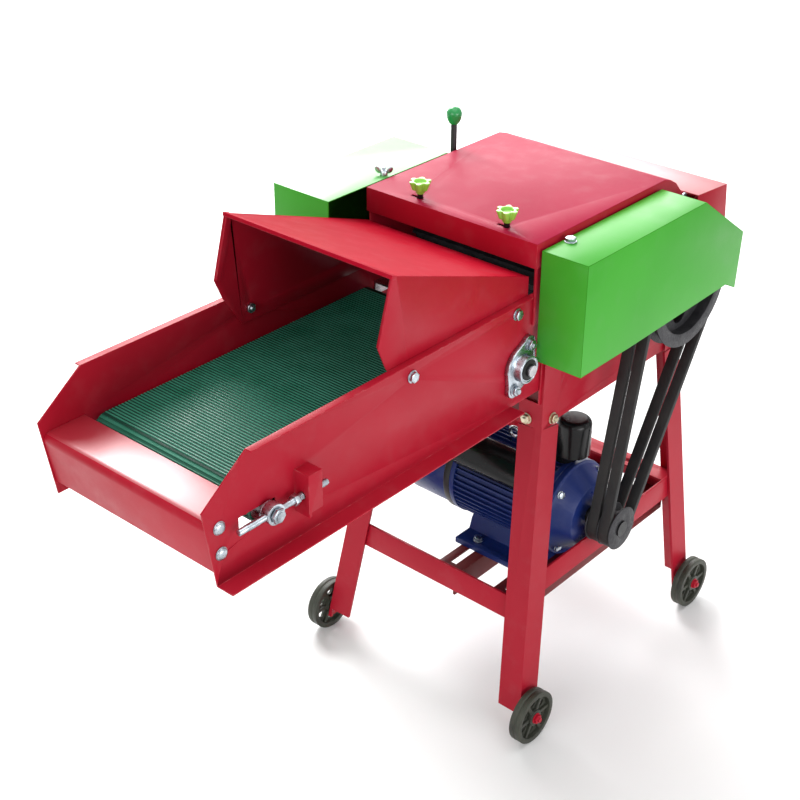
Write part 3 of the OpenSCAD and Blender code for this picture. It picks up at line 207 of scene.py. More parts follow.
def bumped(tree, height, strength, depth, under=None):
    bump = tree.nodes.new("ShaderNodeBump")
    bump.inputs["Strength"].default_value = strength
    bump.inputs["Distance"].default_value = depth
    tree.links.new(height, bump.inputs["Height"])
    if under is not None:
        tree.links.new(under, bump.inputs["Normal"])
    return bump.outputs["Normal"]


def new_finish(name, metal, specular, coat, coat_rough=0.16):
    material = bpy.data.materials.new(name)
    material.use_nodes = True
    shader = material.node_tree.nodes["Principled BSDF"]
    shader.inputs["Metallic"].default_value = metal
    shader.inputs["Specular IOR Level"].default_value = specular
    shader.inputs["Coat Weight"].default_value = coat
    shader.inputs["Coat Roughness"].default_value = coat_rough
    spot = material.node_tree.nodes.new("ShaderNodeTexCoord")
    return material, material.node_tree, shader, spot.outputs["Object"]


def paint(name, deep, bright, rough, specular=0.3, coat=0.0, wave=0.0012, peel=0.00012,
          coat_rough=0.16):
    material, tree, shader, place = new_finish(name, 0.0, specular, coat, coat_rough)
    cloud = noise_at(tree, place, 4.0, 3.0)
    rub = noise_at(tree, place, 34.0, 9.0)
    rubbed = between(tree, rub, -0.20, 0.16)
    tint = mixed(tree, between(tree, cloud, 0.0, 1.0), deep, bright)
    pale = tuple(0.75 * c + 0.06 for c in bright)
    colour = mixed(tree, rubbed, tint, pale)
    tree.links.new(colour, shader.inputs["Base Color"])
    tree.links.new(between(tree, rub, rough[0], rough[1]), shader.inputs["Roughness"])
    sheet = bumped(tree, noise_at(tree, place, 5.5, 1.5), 0.5, wave)
    skin = bumped(tree, noise_at(tree, place, 620.0, 2.0), 0.5, peel, sheet)
    tree.links.new(skin, shader.inputs["Normal"])
    return material


deep_red, bright_red = (0.37, 0.007, 0.021), (0.43, 0.010, 0.028)
finishes = {
    "red_paint": paint("red_paint", deep_red, bright_red, (0.30, 0.46), specular=0.14),
    "dark_red_paint": paint("dark_red_paint", (0.10, 0.008, 0.010), (0.17, 0.012, 0.014), (0.4, 0.6)),
    "green_paint": paint("green_paint", (0.045, 0.33, 0.018), (0.060, 0.38, 0.026), (0.26, 0.42),
                         specular=0.2),
    "blue_paint": paint("blue_paint", (0.007, 0.019, 0.115), (0.012, 0.031, 0.18), (0.26, 0.42),
                        specular=0.22, coat=0.05, wave=0.0004, peel=0.0004),
    "black_paint": paint("black_paint", (0.008, 0.008, 0.009), (0.018, 0.018, 0.020), (0.3, 0.5),
                         wave=0.0003),
}
polished_red = paint("polished_red_paint", deep_red, bright_red, (0.42, 0.50),
                     specular=1.0, coat=1.0, wave=0.0002, coat_rough=0.40)
cover_green = paint("cover_green_paint", (0.044, 0.33, 0.022), (0.056, 0.38, 0.030), (0.28, 0.40),
                    specular=0.18, coat=0.03, wave=0.0006)
polished_green = paint("polished_green_paint", (0.045, 0.33, 0.022), (0.06, 0.38, 0.03), (0.34, 0.44),
                       specular=0.6, coat=0.5, wave=0.0004, coat_rough=0.30)
# The feed hood's top gets a deeper, more saturated red than its sides: painted shade on the lit top.
hood_top_painted_shade = paint("hood_red_paint", (0.34, 0.003, 0.014), (0.40, 0.004, 0.020), (0.46, 0.60),
                 specular=0.03, wave=0.002)
# The lid's top gets a red with more blue in it: a painted pinkish sheen.
lid_top_painted_sheen = paint("lid_red_paint", (0.33, 0.006, 0.036), (0.39, 0.009, 0.048), (0.40, 0.52),
                specular=0.09, wave=0.002)
print("paints", sorted(finishes))

# %% [markdown]
# Bolts, bearings and pins are zinc plated: a bluish white metal with faint yellow and grey
# clouds and fine scratches. Castings are grey and grainy. A metal's colour is its reflection, so
# these finishes put their detail in the roughness and in a very shallow bump.

# %% Metals
def bare_metal(name, dull, clear, rough, grain, depth, metal=1.0):
    material, tree, shader, place = new_finish(name, metal, 0.5, 0.0)
    cloud = noise_at(tree, place, 55.0, 6.0)
    tree.links.new(mixed(tree, between(tree, cloud, 0.0, 1.0), dull, clear), shader.inputs["Base Color"])
    fine = noise_at(tree, place, grain, 5.0)
    tree.links.new(between(tree, fine, rough[0], rough[1]), shader.inputs["Roughness"])
    tree.links.new(bumped(tree, fine, 0.6, depth), shader.inputs["Normal"])
    return material


finishes["zinc_steel"] = bare_metal("zinc_steel", (0.26, 0.29, 0.32), (0.60, 0.66, 0.72),
                                    (0.20, 0.40), 300.0, 0.00003)
finishes["tool_steel"] = bare_metal("tool_steel", (0.36, 0.36, 0.37), (0.55, 0.55, 0.57),
                                    (0.20, 0.40), 700.0, 0.00005)
finishes["cast_iron"] = bare_metal("cast_iron", (0.016, 0.016, 0.019), (0.045, 0.044, 0.049),
                                   (0.38, 0.62), 360.0, 0.0006, metal=0.5)
yellow_zinc = bare_metal("yellow_zinc", (0.42, 0.36, 0.24), (0.66, 0.60, 0.46),
                         (0.25, 0.42), 300.0, 0.00003)
black_steel = bare_metal("blackened_steel", (0.015, 0.015, 0.016), (0.05, 0.05, 0.052),
                         (0.25, 0.45), 500.0, 0.0001, metal=0.8)
print("metals added:", len(finishes))

# %% [markdown]
# Rubber and plastic differ from paint by their softer shine. The belts and the wheels carry dust
# in their pores, so a noise lifts the colour in spots, and a second, finer noise gives the pores as
# a shallow bump. The moulded knobs are smooth and clear in colour.

# %% Rubber and plastic
def moulded(name, base, dust, dusty, rough, grain, depth, specular=0.4, coat=0.0):
    material, tree, shader, place = new_finish(name, 0.0, specular, coat)
    cloud = noise_at(tree, place, 26.0, 7.0)
    speck = noise_at(tree, place, grain, 3.0)
    worn = between(tree, cloud, 0.0, dusty)
    tree.links.new(mixed(tree, worn, base, dust), shader.inputs["Base Color"])
    tree.links.new(between(tree, cloud, rough[0], rough[1]), shader.inputs["Roughness"])
    tree.links.new(bumped(tree, speck, 0.5, depth), shader.inputs["Normal"])
    return material


finishes["teal_rubber"] = moulded("teal_rubber", (0.012, 0.17, 0.10), (0.06, 0.27, 0.19), 0.5,
                                  (0.38, 0.58), 700.0, 0.0002, specular=0.35)
# The groove rubber is a much darker rubber for the floors between the belt's ribs: painted shade.
groove_rubber = moulded("groove_rubber", (0.002, 0.030, 0.018), (0.006, 0.06, 0.038), 0.5,
                        (0.5, 0.7), 700.0, 0.0002, specular=0.2)
finishes["black_rubber"] = moulded("black_rubber", (0.010, 0.010, 0.011), (0.045, 0.043, 0.040), 0.5,
                                   (0.5, 0.72), 600.0, 0.0004, specular=0.3)
finishes["black_plastic"] = moulded("black_plastic", (0.003, 0.003, 0.0035), (0.010, 0.010, 0.011), 0.6,
                                    (0.18, 0.30), 520.0, 0.0002, specular=0.3)
finishes["lime_plastic"] = moulded("lime_plastic", (0.20, 0.56, 0.03), (0.36, 0.74, 0.12), 0.8,
                                   (0.24, 0.36), 400.0, 0.0001, specular=0.5, coat=0.4)
finishes["green_plastic"] = moulded("green_plastic", (0.010, 0.26, 0.06), (0.02, 0.34, 0.09), 0.8,
                                    (0.16, 0.26), 300.0, 0.0001, specular=0.4, coat=0.2)
finishes["olive_iron"] = moulded("olive_iron", (0.018, 0.020, 0.014), (0.06, 0.064, 0.045), 0.8,
                                 (0.42, 0.62), 480.0, 0.0005)
for node_name, node in frame["nodes"].items():
    node.data.materials.clear()
    node.data.materials.append(finishes[slot_of_node[node_name]])
print("finishes", sorted(finishes))

# %% [markdown]
# Paint is thinnest on a bent or cut edge, and it wears there first. Each painted finish gets a
# second version for edges, in which small spots show the pale primer. The bevel that rounds an
# edge can put this version on its own new faces, so the wear lies exactly along the edges.

# %% Worn edges
def worn_edge(material, bare, amount):
    edge = material.copy()
    edge.name = material.name + "_edge"
    tree = edge.node_tree
    shader = tree.nodes["Principled BSDF"]
    place = next(n for n in tree.nodes if n.bl_idname == "ShaderNodeTexCoord").outputs["Object"]
    before = shader.inputs["Base Color"].links[0].from_socket
    chips = between(tree, noise_at(tree, place, 90.0, 8.0), -0.35, amount)
    tree.links.new(mixed(tree, chips, before, bare), shader.inputs["Base Color"])
    return edge


primer_seen = {
    "red_paint": ((0.55, 0.22, 0.22), 0.40),
    "dark_red_paint": ((0.55, 0.22, 0.22), 0.40),
    "green_paint": ((0.30, 0.60, 0.25), 0.5),
    "blue_paint": ((0.05, 0.07, 0.20), 0.5),
    "black_paint": ((0.12, 0.12, 0.12), 0.7),
}
edge_of = {}
for paint_name, (primer, amount) in primer_seen.items():
    edge_of[paint_name] = worn_edge(finishes[paint_name], primer, amount)
green_edge = paint("green_edge_paint", (0.030, 0.22, 0.012), (0.04, 0.26, 0.018), (0.5, 0.6),
                   specular=0.02)
print("edge finishes", sorted(m.name for m in edge_of.values()))

# %% [markdown]
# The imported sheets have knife-sharp edges, which no real sheet has. For each one a copy is made,
# its loose triangles are merged, flat faces are joined again, and a Bevel modifier rounds every
# sharp edge by a few tenths of a millimetre. The rounding catches a thin line of light, which is
# what makes folded sheet look like folded sheet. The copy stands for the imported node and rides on
# the same body.

# %% Round the edges of a node
def pick_only(*things):
    bpy.ops.object.select_all(action="DESELECT")
    for thing in things:
        thing.select_set(True)
    bpy.context.view_layer.objects.active = things[0]


weld_distance = 0.000004
flat_angle, sharp_angle, smooth_angle = math.radians(0.4), math.radians(32.0), math.radians(33.0)


def rounded(node_name, width, finish=None, edge=None, segments=2):
    source = frame["nodes"][node_name]
    slot_name = slot_of_node[node_name]
    pick_only(source)
    bpy.ops.object.duplicate()
    piece = bpy.context.active_object
    piece.name = node_name + "_sheet"
    bpy.ops.object.mode_set(mode="EDIT")
    bpy.ops.mesh.select_all(action="SELECT")
    bpy.ops.mesh.remove_doubles(threshold=weld_distance)
    if width:
        bpy.ops.mesh.dissolve_limited(angle_limit=flat_angle, delimit=set())
    bpy.ops.object.mode_set(mode="OBJECT")
    piece.data.materials.clear()
    piece.data.materials.append(finish or finishes[slot_name])
    piece.data.materials.append(edge or edge_of.get(slot_name) or finish or finishes[slot_name])
    if width:
        bevel = piece.modifiers.new("edges", "BEVEL")
        bevel.width = width
        bevel.segments = segments
        bevel.limit_method = "ANGLE"
        bevel.angle_limit = sharp_angle
        bevel.use_clamp_overlap = False
        bevel.material = 1
        bpy.ops.object.modifier_apply(modifier=bevel.name)
    bpy.ops.object.shade_smooth_by_angle(angle=smooth_angle)
    if "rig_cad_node" in piece:
        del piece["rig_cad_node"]
    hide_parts(node_name)
    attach(piece, body_of_node[node_name])
    return piece


def round_all(widths, **how):
    for name, width in widths.items():
        piece = rounded(name, width, **how)
        print(name, len(piece.data.polygons), "faces")


# %% [markdown]
# The stand is welded from angle iron and the machine's body is folded sheet. Crossbars and rails
# get a larger radius than the sheets. The legs keep their sharp corners: their splayed corner line
# is too fine for a bevel. Widths are in metres.

# %% Stand and body sheets
round_all({"front_legs": 0.0, "rear_legs": 0.0, "front_crossbar": 0.0006, "rear_crossbar": 0.0006,
           "side_crossbars": 0.0007, "motor_rails": 0.0006})
round_all({"body_side_right": 0.0005, "body_side_left": 0.0005, "cross_plates": 0.0004,
           "feed_plate": 0.0003, "rotor_shroud": 0.0003, "lid_bar": 0.0005,
           "trough_side_right": 0.0005, "trough_side_left": 0.0005, "belt_bed": 0.0003,
           "feed_hood": 0.0004, "lid": 0.0006, "discharge_hood": 0.0004, "nose_box": 0.0005})
round_all({"belt_cover": 0.0006, "gear_cover": 0.0008}, finish=cover_green, edge=green_edge)

# %% [markdown]
# The level tops of the nose box, the gear cover and the discharge hood are the smoothest sheets
# and they lie at the angle at which the camera sees the bright sky in them, so they look almost
# white. Their upward faces get a more polished version of the same paint. The upward faces of the
# lid and the feed hood get matt copies whose colour holds painted light: the lid's red has more blue
# in it, a painted pinkish sheen, and the hood's red is deeper and more saturated, painted shade on
# its lit top. Faces are picked by their normal.

# %% Polished tops
def finish_faces(piece, material, wanted):
    piece.data.materials.append(material)
    index = len(piece.data.materials) - 1
    count = 0
    for face in piece.data.polygons:
        if wanted(face.center, face.normal):
            face.material_index = index
            count += 1
    return count


def copies_by_node():
    ending = "_sheet"
    return {o.name[:-len(ending)]: o for o in bpy.data.objects if o.name.endswith(ending)}


sheet_of = copies_by_node()
top_band, level, facing_up = 0.0095, 0.85, 0.30
for name, material in (("nose_box", polished_red), ("discharge_hood", polished_red),
                       ("gear_cover", polished_green)):
    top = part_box(name)[1][2] - top_band
    count = finish_faces(sheet_of[name], material, lambda c, n: n.z > level and c.z > top)
    print(name, "polished faces:", count)
# The upward faces of the feed hood and the lid get these copies, with painted shade and painted sheen in
# their colour.
for name, material in (("feed_hood", hood_top_painted_shade), ("lid", lid_top_painted_sheen)):
    count = finish_faces(sheet_of[name], material, lambda c, n: n.z > facing_up)
    print(name, "matt faces:", count)

# %% [markdown]
# Cast and moulded pieces have larger radii than sheet. The wheels, the motor's shells, the
# bearing's flange and the black covers get them here. Turned and inner pieces need only a very
# small one.

# %% Castings and mouldings
round_all({"wheel_front_right": 0.0009, "wheel_front_left": 0.0009, "wheel_rear_right": 0.0009,
           "wheel_rear_left": 0.0009})
round_all({"motor_housing": 0.0005, "motor_end_shields": 0.0014, "fan_cover": 0.001,
           "capacitor_covers": 0.002}, segments=3)
round_all({"flange_bearings": 0.0012, "main_pulley": 0.0008, "motor_pulley": 0.0007,
           "v_belts": 0.0005, "shift_lever": 0.0006, "tension_screws": 0.0005, "lid_pin": 0.0005})
round_all({"conveyor_belt": 0.00025, "lever_ball": 0.0}, segments=1)

# %% [markdown]
# The floors of the grooves between the belt's ribs get a much darker rubber: painted shade in the
# grooves. The ribs' crowns keep the belt's own finish. These faces lie below the crowns and are
# found by their height over the belt's flat upper run and by their normal.

# %% Painted shade in the belt grooves
sheet_of = copies_by_node()
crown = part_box("conveyor_belt")[1][2]
groove_low, groove_high = crown - 0.0022, crown - 0.0006
# Painted shade: the floors of the grooves get the dark rubber.
dark = finish_faces(sheet_of["conveyor_belt"], groove_rubber,
                    lambda c, n: n.z > 0.5 and groove_low < c.z < groove_high)
print("dark groove faces:", dark)

# %% [markdown]
# The star knobs are moulded: wide at the dished top and narrower at the foot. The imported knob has
# straight lobes, so its lower rings are drawn in towards its axis, and its screw is blackened.

# %% Star knobs
head_height, screw_part, screw_reach = 0.018, 0.0047, 0.012
foot_share, top_gain, taper_power = 0.66, 0.40, 1.3
for side_name in ("star_knob_left", "star_knob_right"):
    knob = rounded(side_name, 0.0009, segments=3)
    low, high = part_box(side_name)
    axis = Vector(((low[0] + high[0]) / 2, (low[1] + high[1]) / 2, 0.0))
    head_low = high[2] - head_height
    knob.data.materials.append(black_steel)
    for vert in knob.data.vertices:
        out = Vector((vert.co.x, vert.co.y, 0.0)) - axis
        if out.length > screw_part:
            share = min(1.0, max(0.0, (vert.co.z - head_low) / head_height))
            k = foot_share + top_gain * share ** taper_power
            vert.co.x = axis.x + out.x * k
            vert.co.y = axis.y + out.y * k
    for face in knob.data.polygons:
        out = Vector((face.center.x, face.center.y, 0.0)) - axis
        if out.length < screw_part - 0.0001 and face.center.z < head_low + screw_reach:
            face.material_index = 2
    print(side_name, "tapered")

# %% [markdown]
# The bolts are what a hand would look for first. A real hexagon head has its six corners turned
# off, sits on a washer, and shows a little thread where its nut is. One bolt is made here from a
# six-sided cylinder: the rim of its top face is bevelled, and a washer with a rounded rim goes
# under it. Then it is copied to each place, every copy with its own mesh.

# %% Hexagon bolt
drawing_shift_x, drawing_shift_y = 17.0, 62.5


def drawn(x, y, z):
    """A point of the machine's drawing, in millimetres, as a place in metres.

    The drawing starts at the middle of the trough and at the front edge of the lid."""
    return Vector(((x + drawing_shift_x) / 1000.0, (y + drawing_shift_y) / 1000.0, z / 1000.0))


def finish_piece(piece, name, body, slot_name, smooth=33.0):
    pick_only(piece)
    bpy.ops.object.transform_apply(location=True, rotation=True, scale=True)
    bpy.ops.object.shade_smooth_by_angle(angle=math.radians(smooth))
    piece.name = name
    if not piece.data.materials:
        piece.data.materials.append(finishes[slot_name])
    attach(piece, body)
    return piece


def joined(pieces):
    pick_only(*pieces)
    if len(pieces) > 1:
        bpy.ops.object.join()
    return bpy.context.active_object


def with_bevel(piece, width, segments=2, angle=32.0):
    pick_only(piece)
    bevel = piece.modifiers.new("edges", "BEVEL")
    bevel.width = width
    bevel.segments = segments
    bevel.limit_method = "ANGLE"
    bevel.angle_limit = math.radians(angle)
    bpy.ops.object.modifier_apply(modifier=bevel.name)
    return piece


def disc(radius, low, high, sides=40, top_radius=None):
    bpy.ops.object.select_all(action="DESELECT")
    bpy.ops.mesh.primitive_cone_add(vertices=sides, radius1=radius, radius2=top_radius or radius,
                                    depth=high - low, location=(0.0, 0.0, (high + low) / 2))
    made = bpy.context.active_object
    bpy.ops.object.transform_apply(location=True, rotation=True, scale=True)
    return made


def select_faces(piece, wanted):
    """In edit mode, selects the faces for which wanted(centre, normal) is true."""
    bpy.ops.mesh.select_mode(type="FACE")
    bpy.ops.mesh.select_all(action="DESELECT")
    mesh = bmesh.from_edit_mesh(piece.data)
    for face in mesh.faces:
        face.select_set(wanted(face.calc_center_median(), face.normal))
    mesh.select_flush_mode()
    bmesh.update_edit_mesh(piece.data)


def hex_head(flats, low, high, both_ends=False):
    head = disc(flats / 2 / math.cos(math.radians(30)), low, high, 6)
    bpy.ops.object.mode_set(mode="EDIT")
    for side in (1, -1) if both_ends else (1,):
        select_faces(head, lambda c, n: n.z * side > 0.9)
        bpy.ops.mesh.inset(thickness=0.085 * flats, depth=0.0)
        bpy.ops.mesh.select_all(action="DESELECT")
        mesh = bmesh.from_edit_mesh(head.data)
        rim = high if side > 0 else low
        for vert in mesh.verts:
            if abs(vert.co.z - rim) < 1e-6 and math.hypot(vert.co.x, vert.co.y) > flats * 0.52:
                vert.select_set(True)
        bmesh.update_edit_mesh(head.data)
        bpy.ops.mesh.select_mode(type="VERT")
        bpy.ops.transform.translate(value=(0.0, 0.0, -side * 0.05 * flats))
    bpy.ops.object.mode_set(mode="OBJECT")
    return with_bevel(head, 0.00025, 2)


def threaded(radius, low, high, pitch):
    """A round bar with a groove for every turn of its thread."""
    bar = disc(radius, low, low + pitch * 0.5, 24)
    bpy.ops.object.mode_set(mode="EDIT")
    select_faces(bar, lambda c, n: n.z > 0.9)
    steps = int((high - low) / pitch * 2) - 1
    for step in range(steps):
        narrow = step % 2 == 0
        k = 0.87 if narrow else 1 / 0.87
        bpy.ops.mesh.extrude_region_move(TRANSFORM_OT_translate={"value": (0.0, 0.0, pitch * 0.5)})
        bpy.ops.transform.resize(value=(k, k, 1.0))
    bpy.ops.object.mode_set(mode="OBJECT")
    return bar


bolt = joined([hex_head(0.013, 0.0015, 0.0063), with_bevel(disc(0.0084, 0.0, 0.0015), 0.0004)])
bolt.name = "bolt_pattern"
nut_end = joined([hex_head(0.013, 0.0, 0.0045), threaded(0.0038, 0.004, 0.0078, 0.0011)])
nut_end.name = "nut_pattern"
print("bolt faces", len(bolt.data.polygons), "nut faces", len(nut_end.data.polygons))

# %% [markdown]
# Each copy is turned so that its own Z axis points along the bolt, and moved to its hole. A bolt's
# head is outside the sheet and its nut inside. All fixed bolts of one kind are then joined into
# one piece that rides on the frame.

# %% Place the bolts
def copy_to(pattern, place, towards, spin=0.0):
    pick_only(pattern)
    bpy.ops.object.duplicate()
    copy = bpy.context.active_object
    turn = Vector(towards).to_track_quat("Z", "Y").to_matrix().to_4x4()
    copy.matrix_world = Matrix.Translation(place) @ turn @ Matrix.Rotation(math.radians(spin), 4, "Z")
    bpy.ops.object.transform_apply(location=True, rotation=True, scale=True)
    return copy


panel_out, leg_out, half_w = 141.5, 148.5, 144.5
both_sides = (1, -1)
side_bolts, side_nuts = [], []
for side in both_sides:
    for y, z in ((-236, 674), (-30, 680)):
        side_bolts.append(copy_to(bolt, drawn(side * panel_out, y, z), (side, 0, 0), 20 + y % 37))
        side_nuts.append(copy_to(nut_end, drawn(side * (panel_out - 4), y, z), (-side, 0, 0), 50))
finish_piece(joined(side_bolts + side_nuts), "trough_bolts", "frame", "zinc_steel")
print("trough bolts at", len(side_bolts), "places")

# %% [markdown]
# At the legs the bolts point outwards: the photograph shows a washer, a nut and the bolt's end
# standing out of the nut. The same nut pattern is used, over a washer of its own.

# %% Leg nuts
washer = with_bevel(disc(0.0086, 0.0, 0.0015), 0.0004)
outer_nut = joined([copy_to(nut_end, Vector((0, 0, 0.0015)), (0, 0, 1)), washer])
outer_nut.name = "outer_nut_pattern"
leg_nuts = []
for side in both_sides:
    for y, z in ((55, 491), (360, 506)):
        leg_nuts.append(copy_to(outer_nut, drawn(side * leg_out, y, z), (side, 0, 0), 12 * side + 9))
        leg_nuts.append(copy_to(bolt, drawn(side * (half_w - 3), y, z), (-side, 0, 0), 0))
    for y, out in ((31, -1), (384, 1)):
        leg_nuts.append(copy_to(outer_nut, drawn(side * 122.5, y, 491), (0, out, 0), 25))
        leg_nuts.append(copy_to(bolt, drawn(side * 122.5, y - out * 7, 491), (0, -out, 0), 5))
leg_set = joined(leg_nuts)
leg_set.data.materials.clear()
leg_set.data.materials.append(yellow_zinc)
leg_fastening = finish_piece(leg_set, "leg_bolts", "frame", "zinc_steel")
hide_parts("fasteners")
print("leg bolts", len(leg_nuts))

# %% [markdown]
# The two bolts that hold the nose box have low round heads with a flat ground on them, so they
# flash in the light. A flattened ball is cut through its middle for the head, and a thin washer
# with a rounded rim lies under it.

# %% Round head bolts
bpy.ops.object.select_all(action="DESELECT")
bpy.ops.mesh.primitive_uv_sphere_add(segments=36, ring_count=18, radius=0.0078, location=(0, 0, 0.0012))
dome = bpy.context.active_object
dome.scale = (1.0, 1.0, 0.5)
bpy.ops.object.transform_apply(location=True, rotation=True, scale=True)
bpy.ops.object.mode_set(mode="EDIT")
bpy.ops.mesh.select_all(action="SELECT")
bpy.ops.mesh.bisect(plane_co=(0, 0, 0.0012), plane_no=(0, 0, 1), clear_inner=True, use_fill=True)
bpy.ops.mesh.select_all(action="SELECT")
bpy.ops.mesh.bisect(plane_co=(0, 0, 0.0046), plane_no=(0, 0, 1), clear_outer=True, use_fill=True)
bpy.ops.object.mode_set(mode="OBJECT")
dome = joined([with_bevel(dome, 0.0003), with_bevel(disc(0.0084, 0.0, 0.0012), 0.0003)])
nose_heads = []
for side in both_sides:
    for y, z in ((-552, 585), (-553, 619)):
        nose_heads.append(copy_to(dome, drawn(side * panel_out, y, z), (side, 0, 0)))
        nose_heads.append(copy_to(nut_end, drawn(side * (panel_out - 4), y, z), (-side, 0, 0)))
finish_piece(joined(nose_heads), "nose_bolts", "frame", "zinc_steel", smooth=60.0)
bpy.data.objects.remove(dome)
print("nose bolts placed")

# %% [markdown]
# The flange bearings are held by two nuts each on square shanks. The wheels turn on bolts whose
# heads and nuts were painted over in red with the stand, so those copies get the stand's finish.

# %% Bearing nuts and axle bolts
bearing_nuts = []
bearing_y, bearing_z, nut_circle = -22, 602, 32
flange_turn = math.radians(62.0)
for side in both_sides:
    for end in both_sides:
        y = bearing_y + end * nut_circle * math.cos(flange_turn)
        z = bearing_z + end * nut_circle * math.sin(flange_turn)
        place = drawn(side * (panel_out + 7), y, z)
        bearing_nuts.append(copy_to(outer_nut, place, (side, 0, 0), 15 * end))
finish_piece(joined(bearing_nuts), "bearing_nuts", "frame", "zinc_steel")

axle_parts = []
for name in ("wheel_front_right", "wheel_front_left", "wheel_rear_right", "wheel_rear_left"):
    low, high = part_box(name)
    x_middle, y, z = [(a + b) / 2 for a, b in zip(low, high)]
    side = 1 if x_middle > drawn(0, 0, 0).x else -1
    outer = high[0] if side > 0 else low[0]
    inner = low[0] if side > 0 else high[0]
    axle_parts.append(copy_to(outer_nut, (outer - side * 0.0002, y, z), (side, 0, 0), 10))
    rod = disc(0.004, 0.0, abs(outer - inner) + 0.011, 24)
    axle_parts.append(copy_to(rod, (outer + side * 0.0004, y, z), (-side, 0, 0)))
    bpy.data.objects.remove(rod)
    axle_parts.append(copy_to(bolt, (inner - side * 0.0075, y, z), (-side, 0, 0)))
axles = joined(axle_parts)
axles.data.materials.clear()
axles.data.materials.append(finishes["red_paint"])
finish_piece(axles, "axle_bolts", "frame", "red_paint")
print("axle bolts placed at", len(axle_parts) // 3, "wheels")

# %% [markdown]
# One hexagon bolt holds the belt cover and one wing nut holds the gear cover, so that the gears
# can be reached without a spanner. The wing nut is a turned cone with two flattened ears.

# %% Cover fastenings
cover_bolt = copy_to(bolt, drawn(half_w + 16, 53, 760), (0, 0, 1), 15)
finish_piece(cover_bolt, "belt_cover_bolt", "frame", "zinc_steel")


def wing_nut():
    hub = with_bevel(disc(0.0058, 0.0, 0.0075, 28, top_radius=0.0042), 0.0005)
    ears = []
    for side in both_sides:
        bpy.ops.object.select_all(action="DESELECT")
        bpy.ops.mesh.primitive_uv_sphere_add(segments=20, ring_count=12, radius=0.0060,
                                             location=(side * 0.0084, 0.0, 0.0076))
        ear = bpy.context.active_object
        ear.scale = (0.62, 0.15, 1.0)
        ear.rotation_euler = (0.0, math.radians(side * 38.0), 0.0)
        bpy.ops.object.transform_apply(location=True, rotation=True, scale=True)
        ears.append(ear)
    stud = threaded(0.0029, 0.0, 0.0125, 0.0010)
    return joined([hub, stud] + ears)


wings = wing_nut()
gear_nut = copy_to(wings, drawn(-half_w - 17, 53, 767), (0, 0, 1), 35)
finish_piece(gear_nut, "gear_cover_wing_nut", "frame", "zinc_steel", smooth=45.0)
bpy.data.objects.remove(wings)
print("cover fastenings done")

# %% [markdown]
# The belt is stretched by an eye bolt on each side. The eye holds the end of the front roller's
# shaft between a large washer and a nut, its shank is threaded, and a nut with a washer pulls it
# against the folded lug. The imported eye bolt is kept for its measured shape; the washers, the
# nuts and the thread's grooves are added over it.

# %% Belt tension screws
roller_y, roller_z, eye_out = -484.0, 609.0, panel_out + 12
side_names = ((1, "right"), (-1, "left"))
for side, ride_name in side_names:
    x = side * eye_out
    big_washer = with_bevel(disc(0.0125, 0.0, 0.0018), 0.0004)
    plain_nut = hex_head(0.017, 0.0, 0.0058, both_ends=True)
    bored = disc(0.0058, 0.0, 0.0012, 28)
    stack = [
        copy_to(big_washer, drawn(x - side * 8.6, roller_y, roller_z), (side, 0, 0)),
        copy_to(plain_nut, drawn(x + side * 6.2, roller_y, roller_z), (side, 0, 0), 18),
        copy_to(bored, drawn(x + side * 12.0, roller_y, roller_z), (side, 0, 0)),
    ]
    grooves = threaded(0.0043, 0.0, 0.020, 0.0012)
    tail = threaded(0.0043, 0.0, 0.017, 0.0012)
    lug_y = roller_y + 50
    stack += [
        copy_to(grooves, drawn(x, lug_y - 24.5, roller_z), (0, 1, 0)),
        copy_to(tail, drawn(x, lug_y + 18.0, roller_z), (0, 1, 0)),
        copy_to(tail, drawn(x, roller_y - 40.0, roller_z), (0, 1, 0)),
    ]
    screws = joined(stack)
    finish_piece(screws, "tension_fittings_" + ride_name, "tensioner", "zinc_steel")
    for pattern in (big_washer, plain_nut, bored, grooves, tail):
        bpy.data.objects.remove(pattern)
print("tension screws fitted")

# %% [markdown]
# The bearing in each flange shows three rings from outside: the bright rim of the pressed
# housing, the black seal and the inner ring with its two set screws round the shaft's end. Each
# ring is a disc whose face is inset and pushed in, so the steps between them are real.

# %% Bearing faces
def stepped_disc(radius, low, high, steps, sides=56):
    """A disc whose outer face is inset and moved along Z in turn by (share, rise) steps."""
    made = disc(radius, low, high, sides)
    bpy.ops.object.mode_set(mode="EDIT")
    select_faces(made, lambda c, n: n.z > 0.9)
    for share, rise in steps:
        bpy.ops.mesh.inset(thickness=radius * share, depth=0.0)
        bpy.ops.transform.translate(value=(0.0, 0.0, rise))
    bpy.ops.object.mode_set(mode="OBJECT")
    return with_bevel(made, 0.0003)


for side, ride_name in side_names:
    ring = stepped_disc(0.0192, 0.0, 0.0008, ((0.10, 0.0006), (0.06, -0.0012), (0.04, 0.0)))
    ring = copy_to(ring, drawn(side * (panel_out + 18.0), bearing_y, bearing_z), (side, 0, 0))
    finish_piece(ring, "bearing_rim_" + ride_name, "frame", "zinc_steel")
    seal = stepped_disc(0.0146, 0.0, 0.0011, ((0.08, -0.0004), (0.16, 0.0007)))
    seal = copy_to(seal, drawn(side * (panel_out + 18.0), bearing_y, bearing_z), (side, 0, 0))
    seal.data.materials.clear()
    seal.data.materials.append(finishes["black_rubber"])
    finish_piece(seal, "bearing_seal_" + ride_name, "frame", "black_rubber")
    end = stepped_disc(0.0088, 0.0, 0.0042, ((0.22, -0.0012), (0.28, 0.0008)))
    end = copy_to(end, drawn(side * (panel_out + 18.6), bearing_y, bearing_z), (side, 0, 0))
    end.data.materials.clear()
    end.data.materials.append(black_steel)
    finish_piece(end, "bearing_inner_ring_" + ride_name, "belt_drive", "tool_steel")
kept_patterns = (bolt.name, nut_end.name, outer_nut.name)
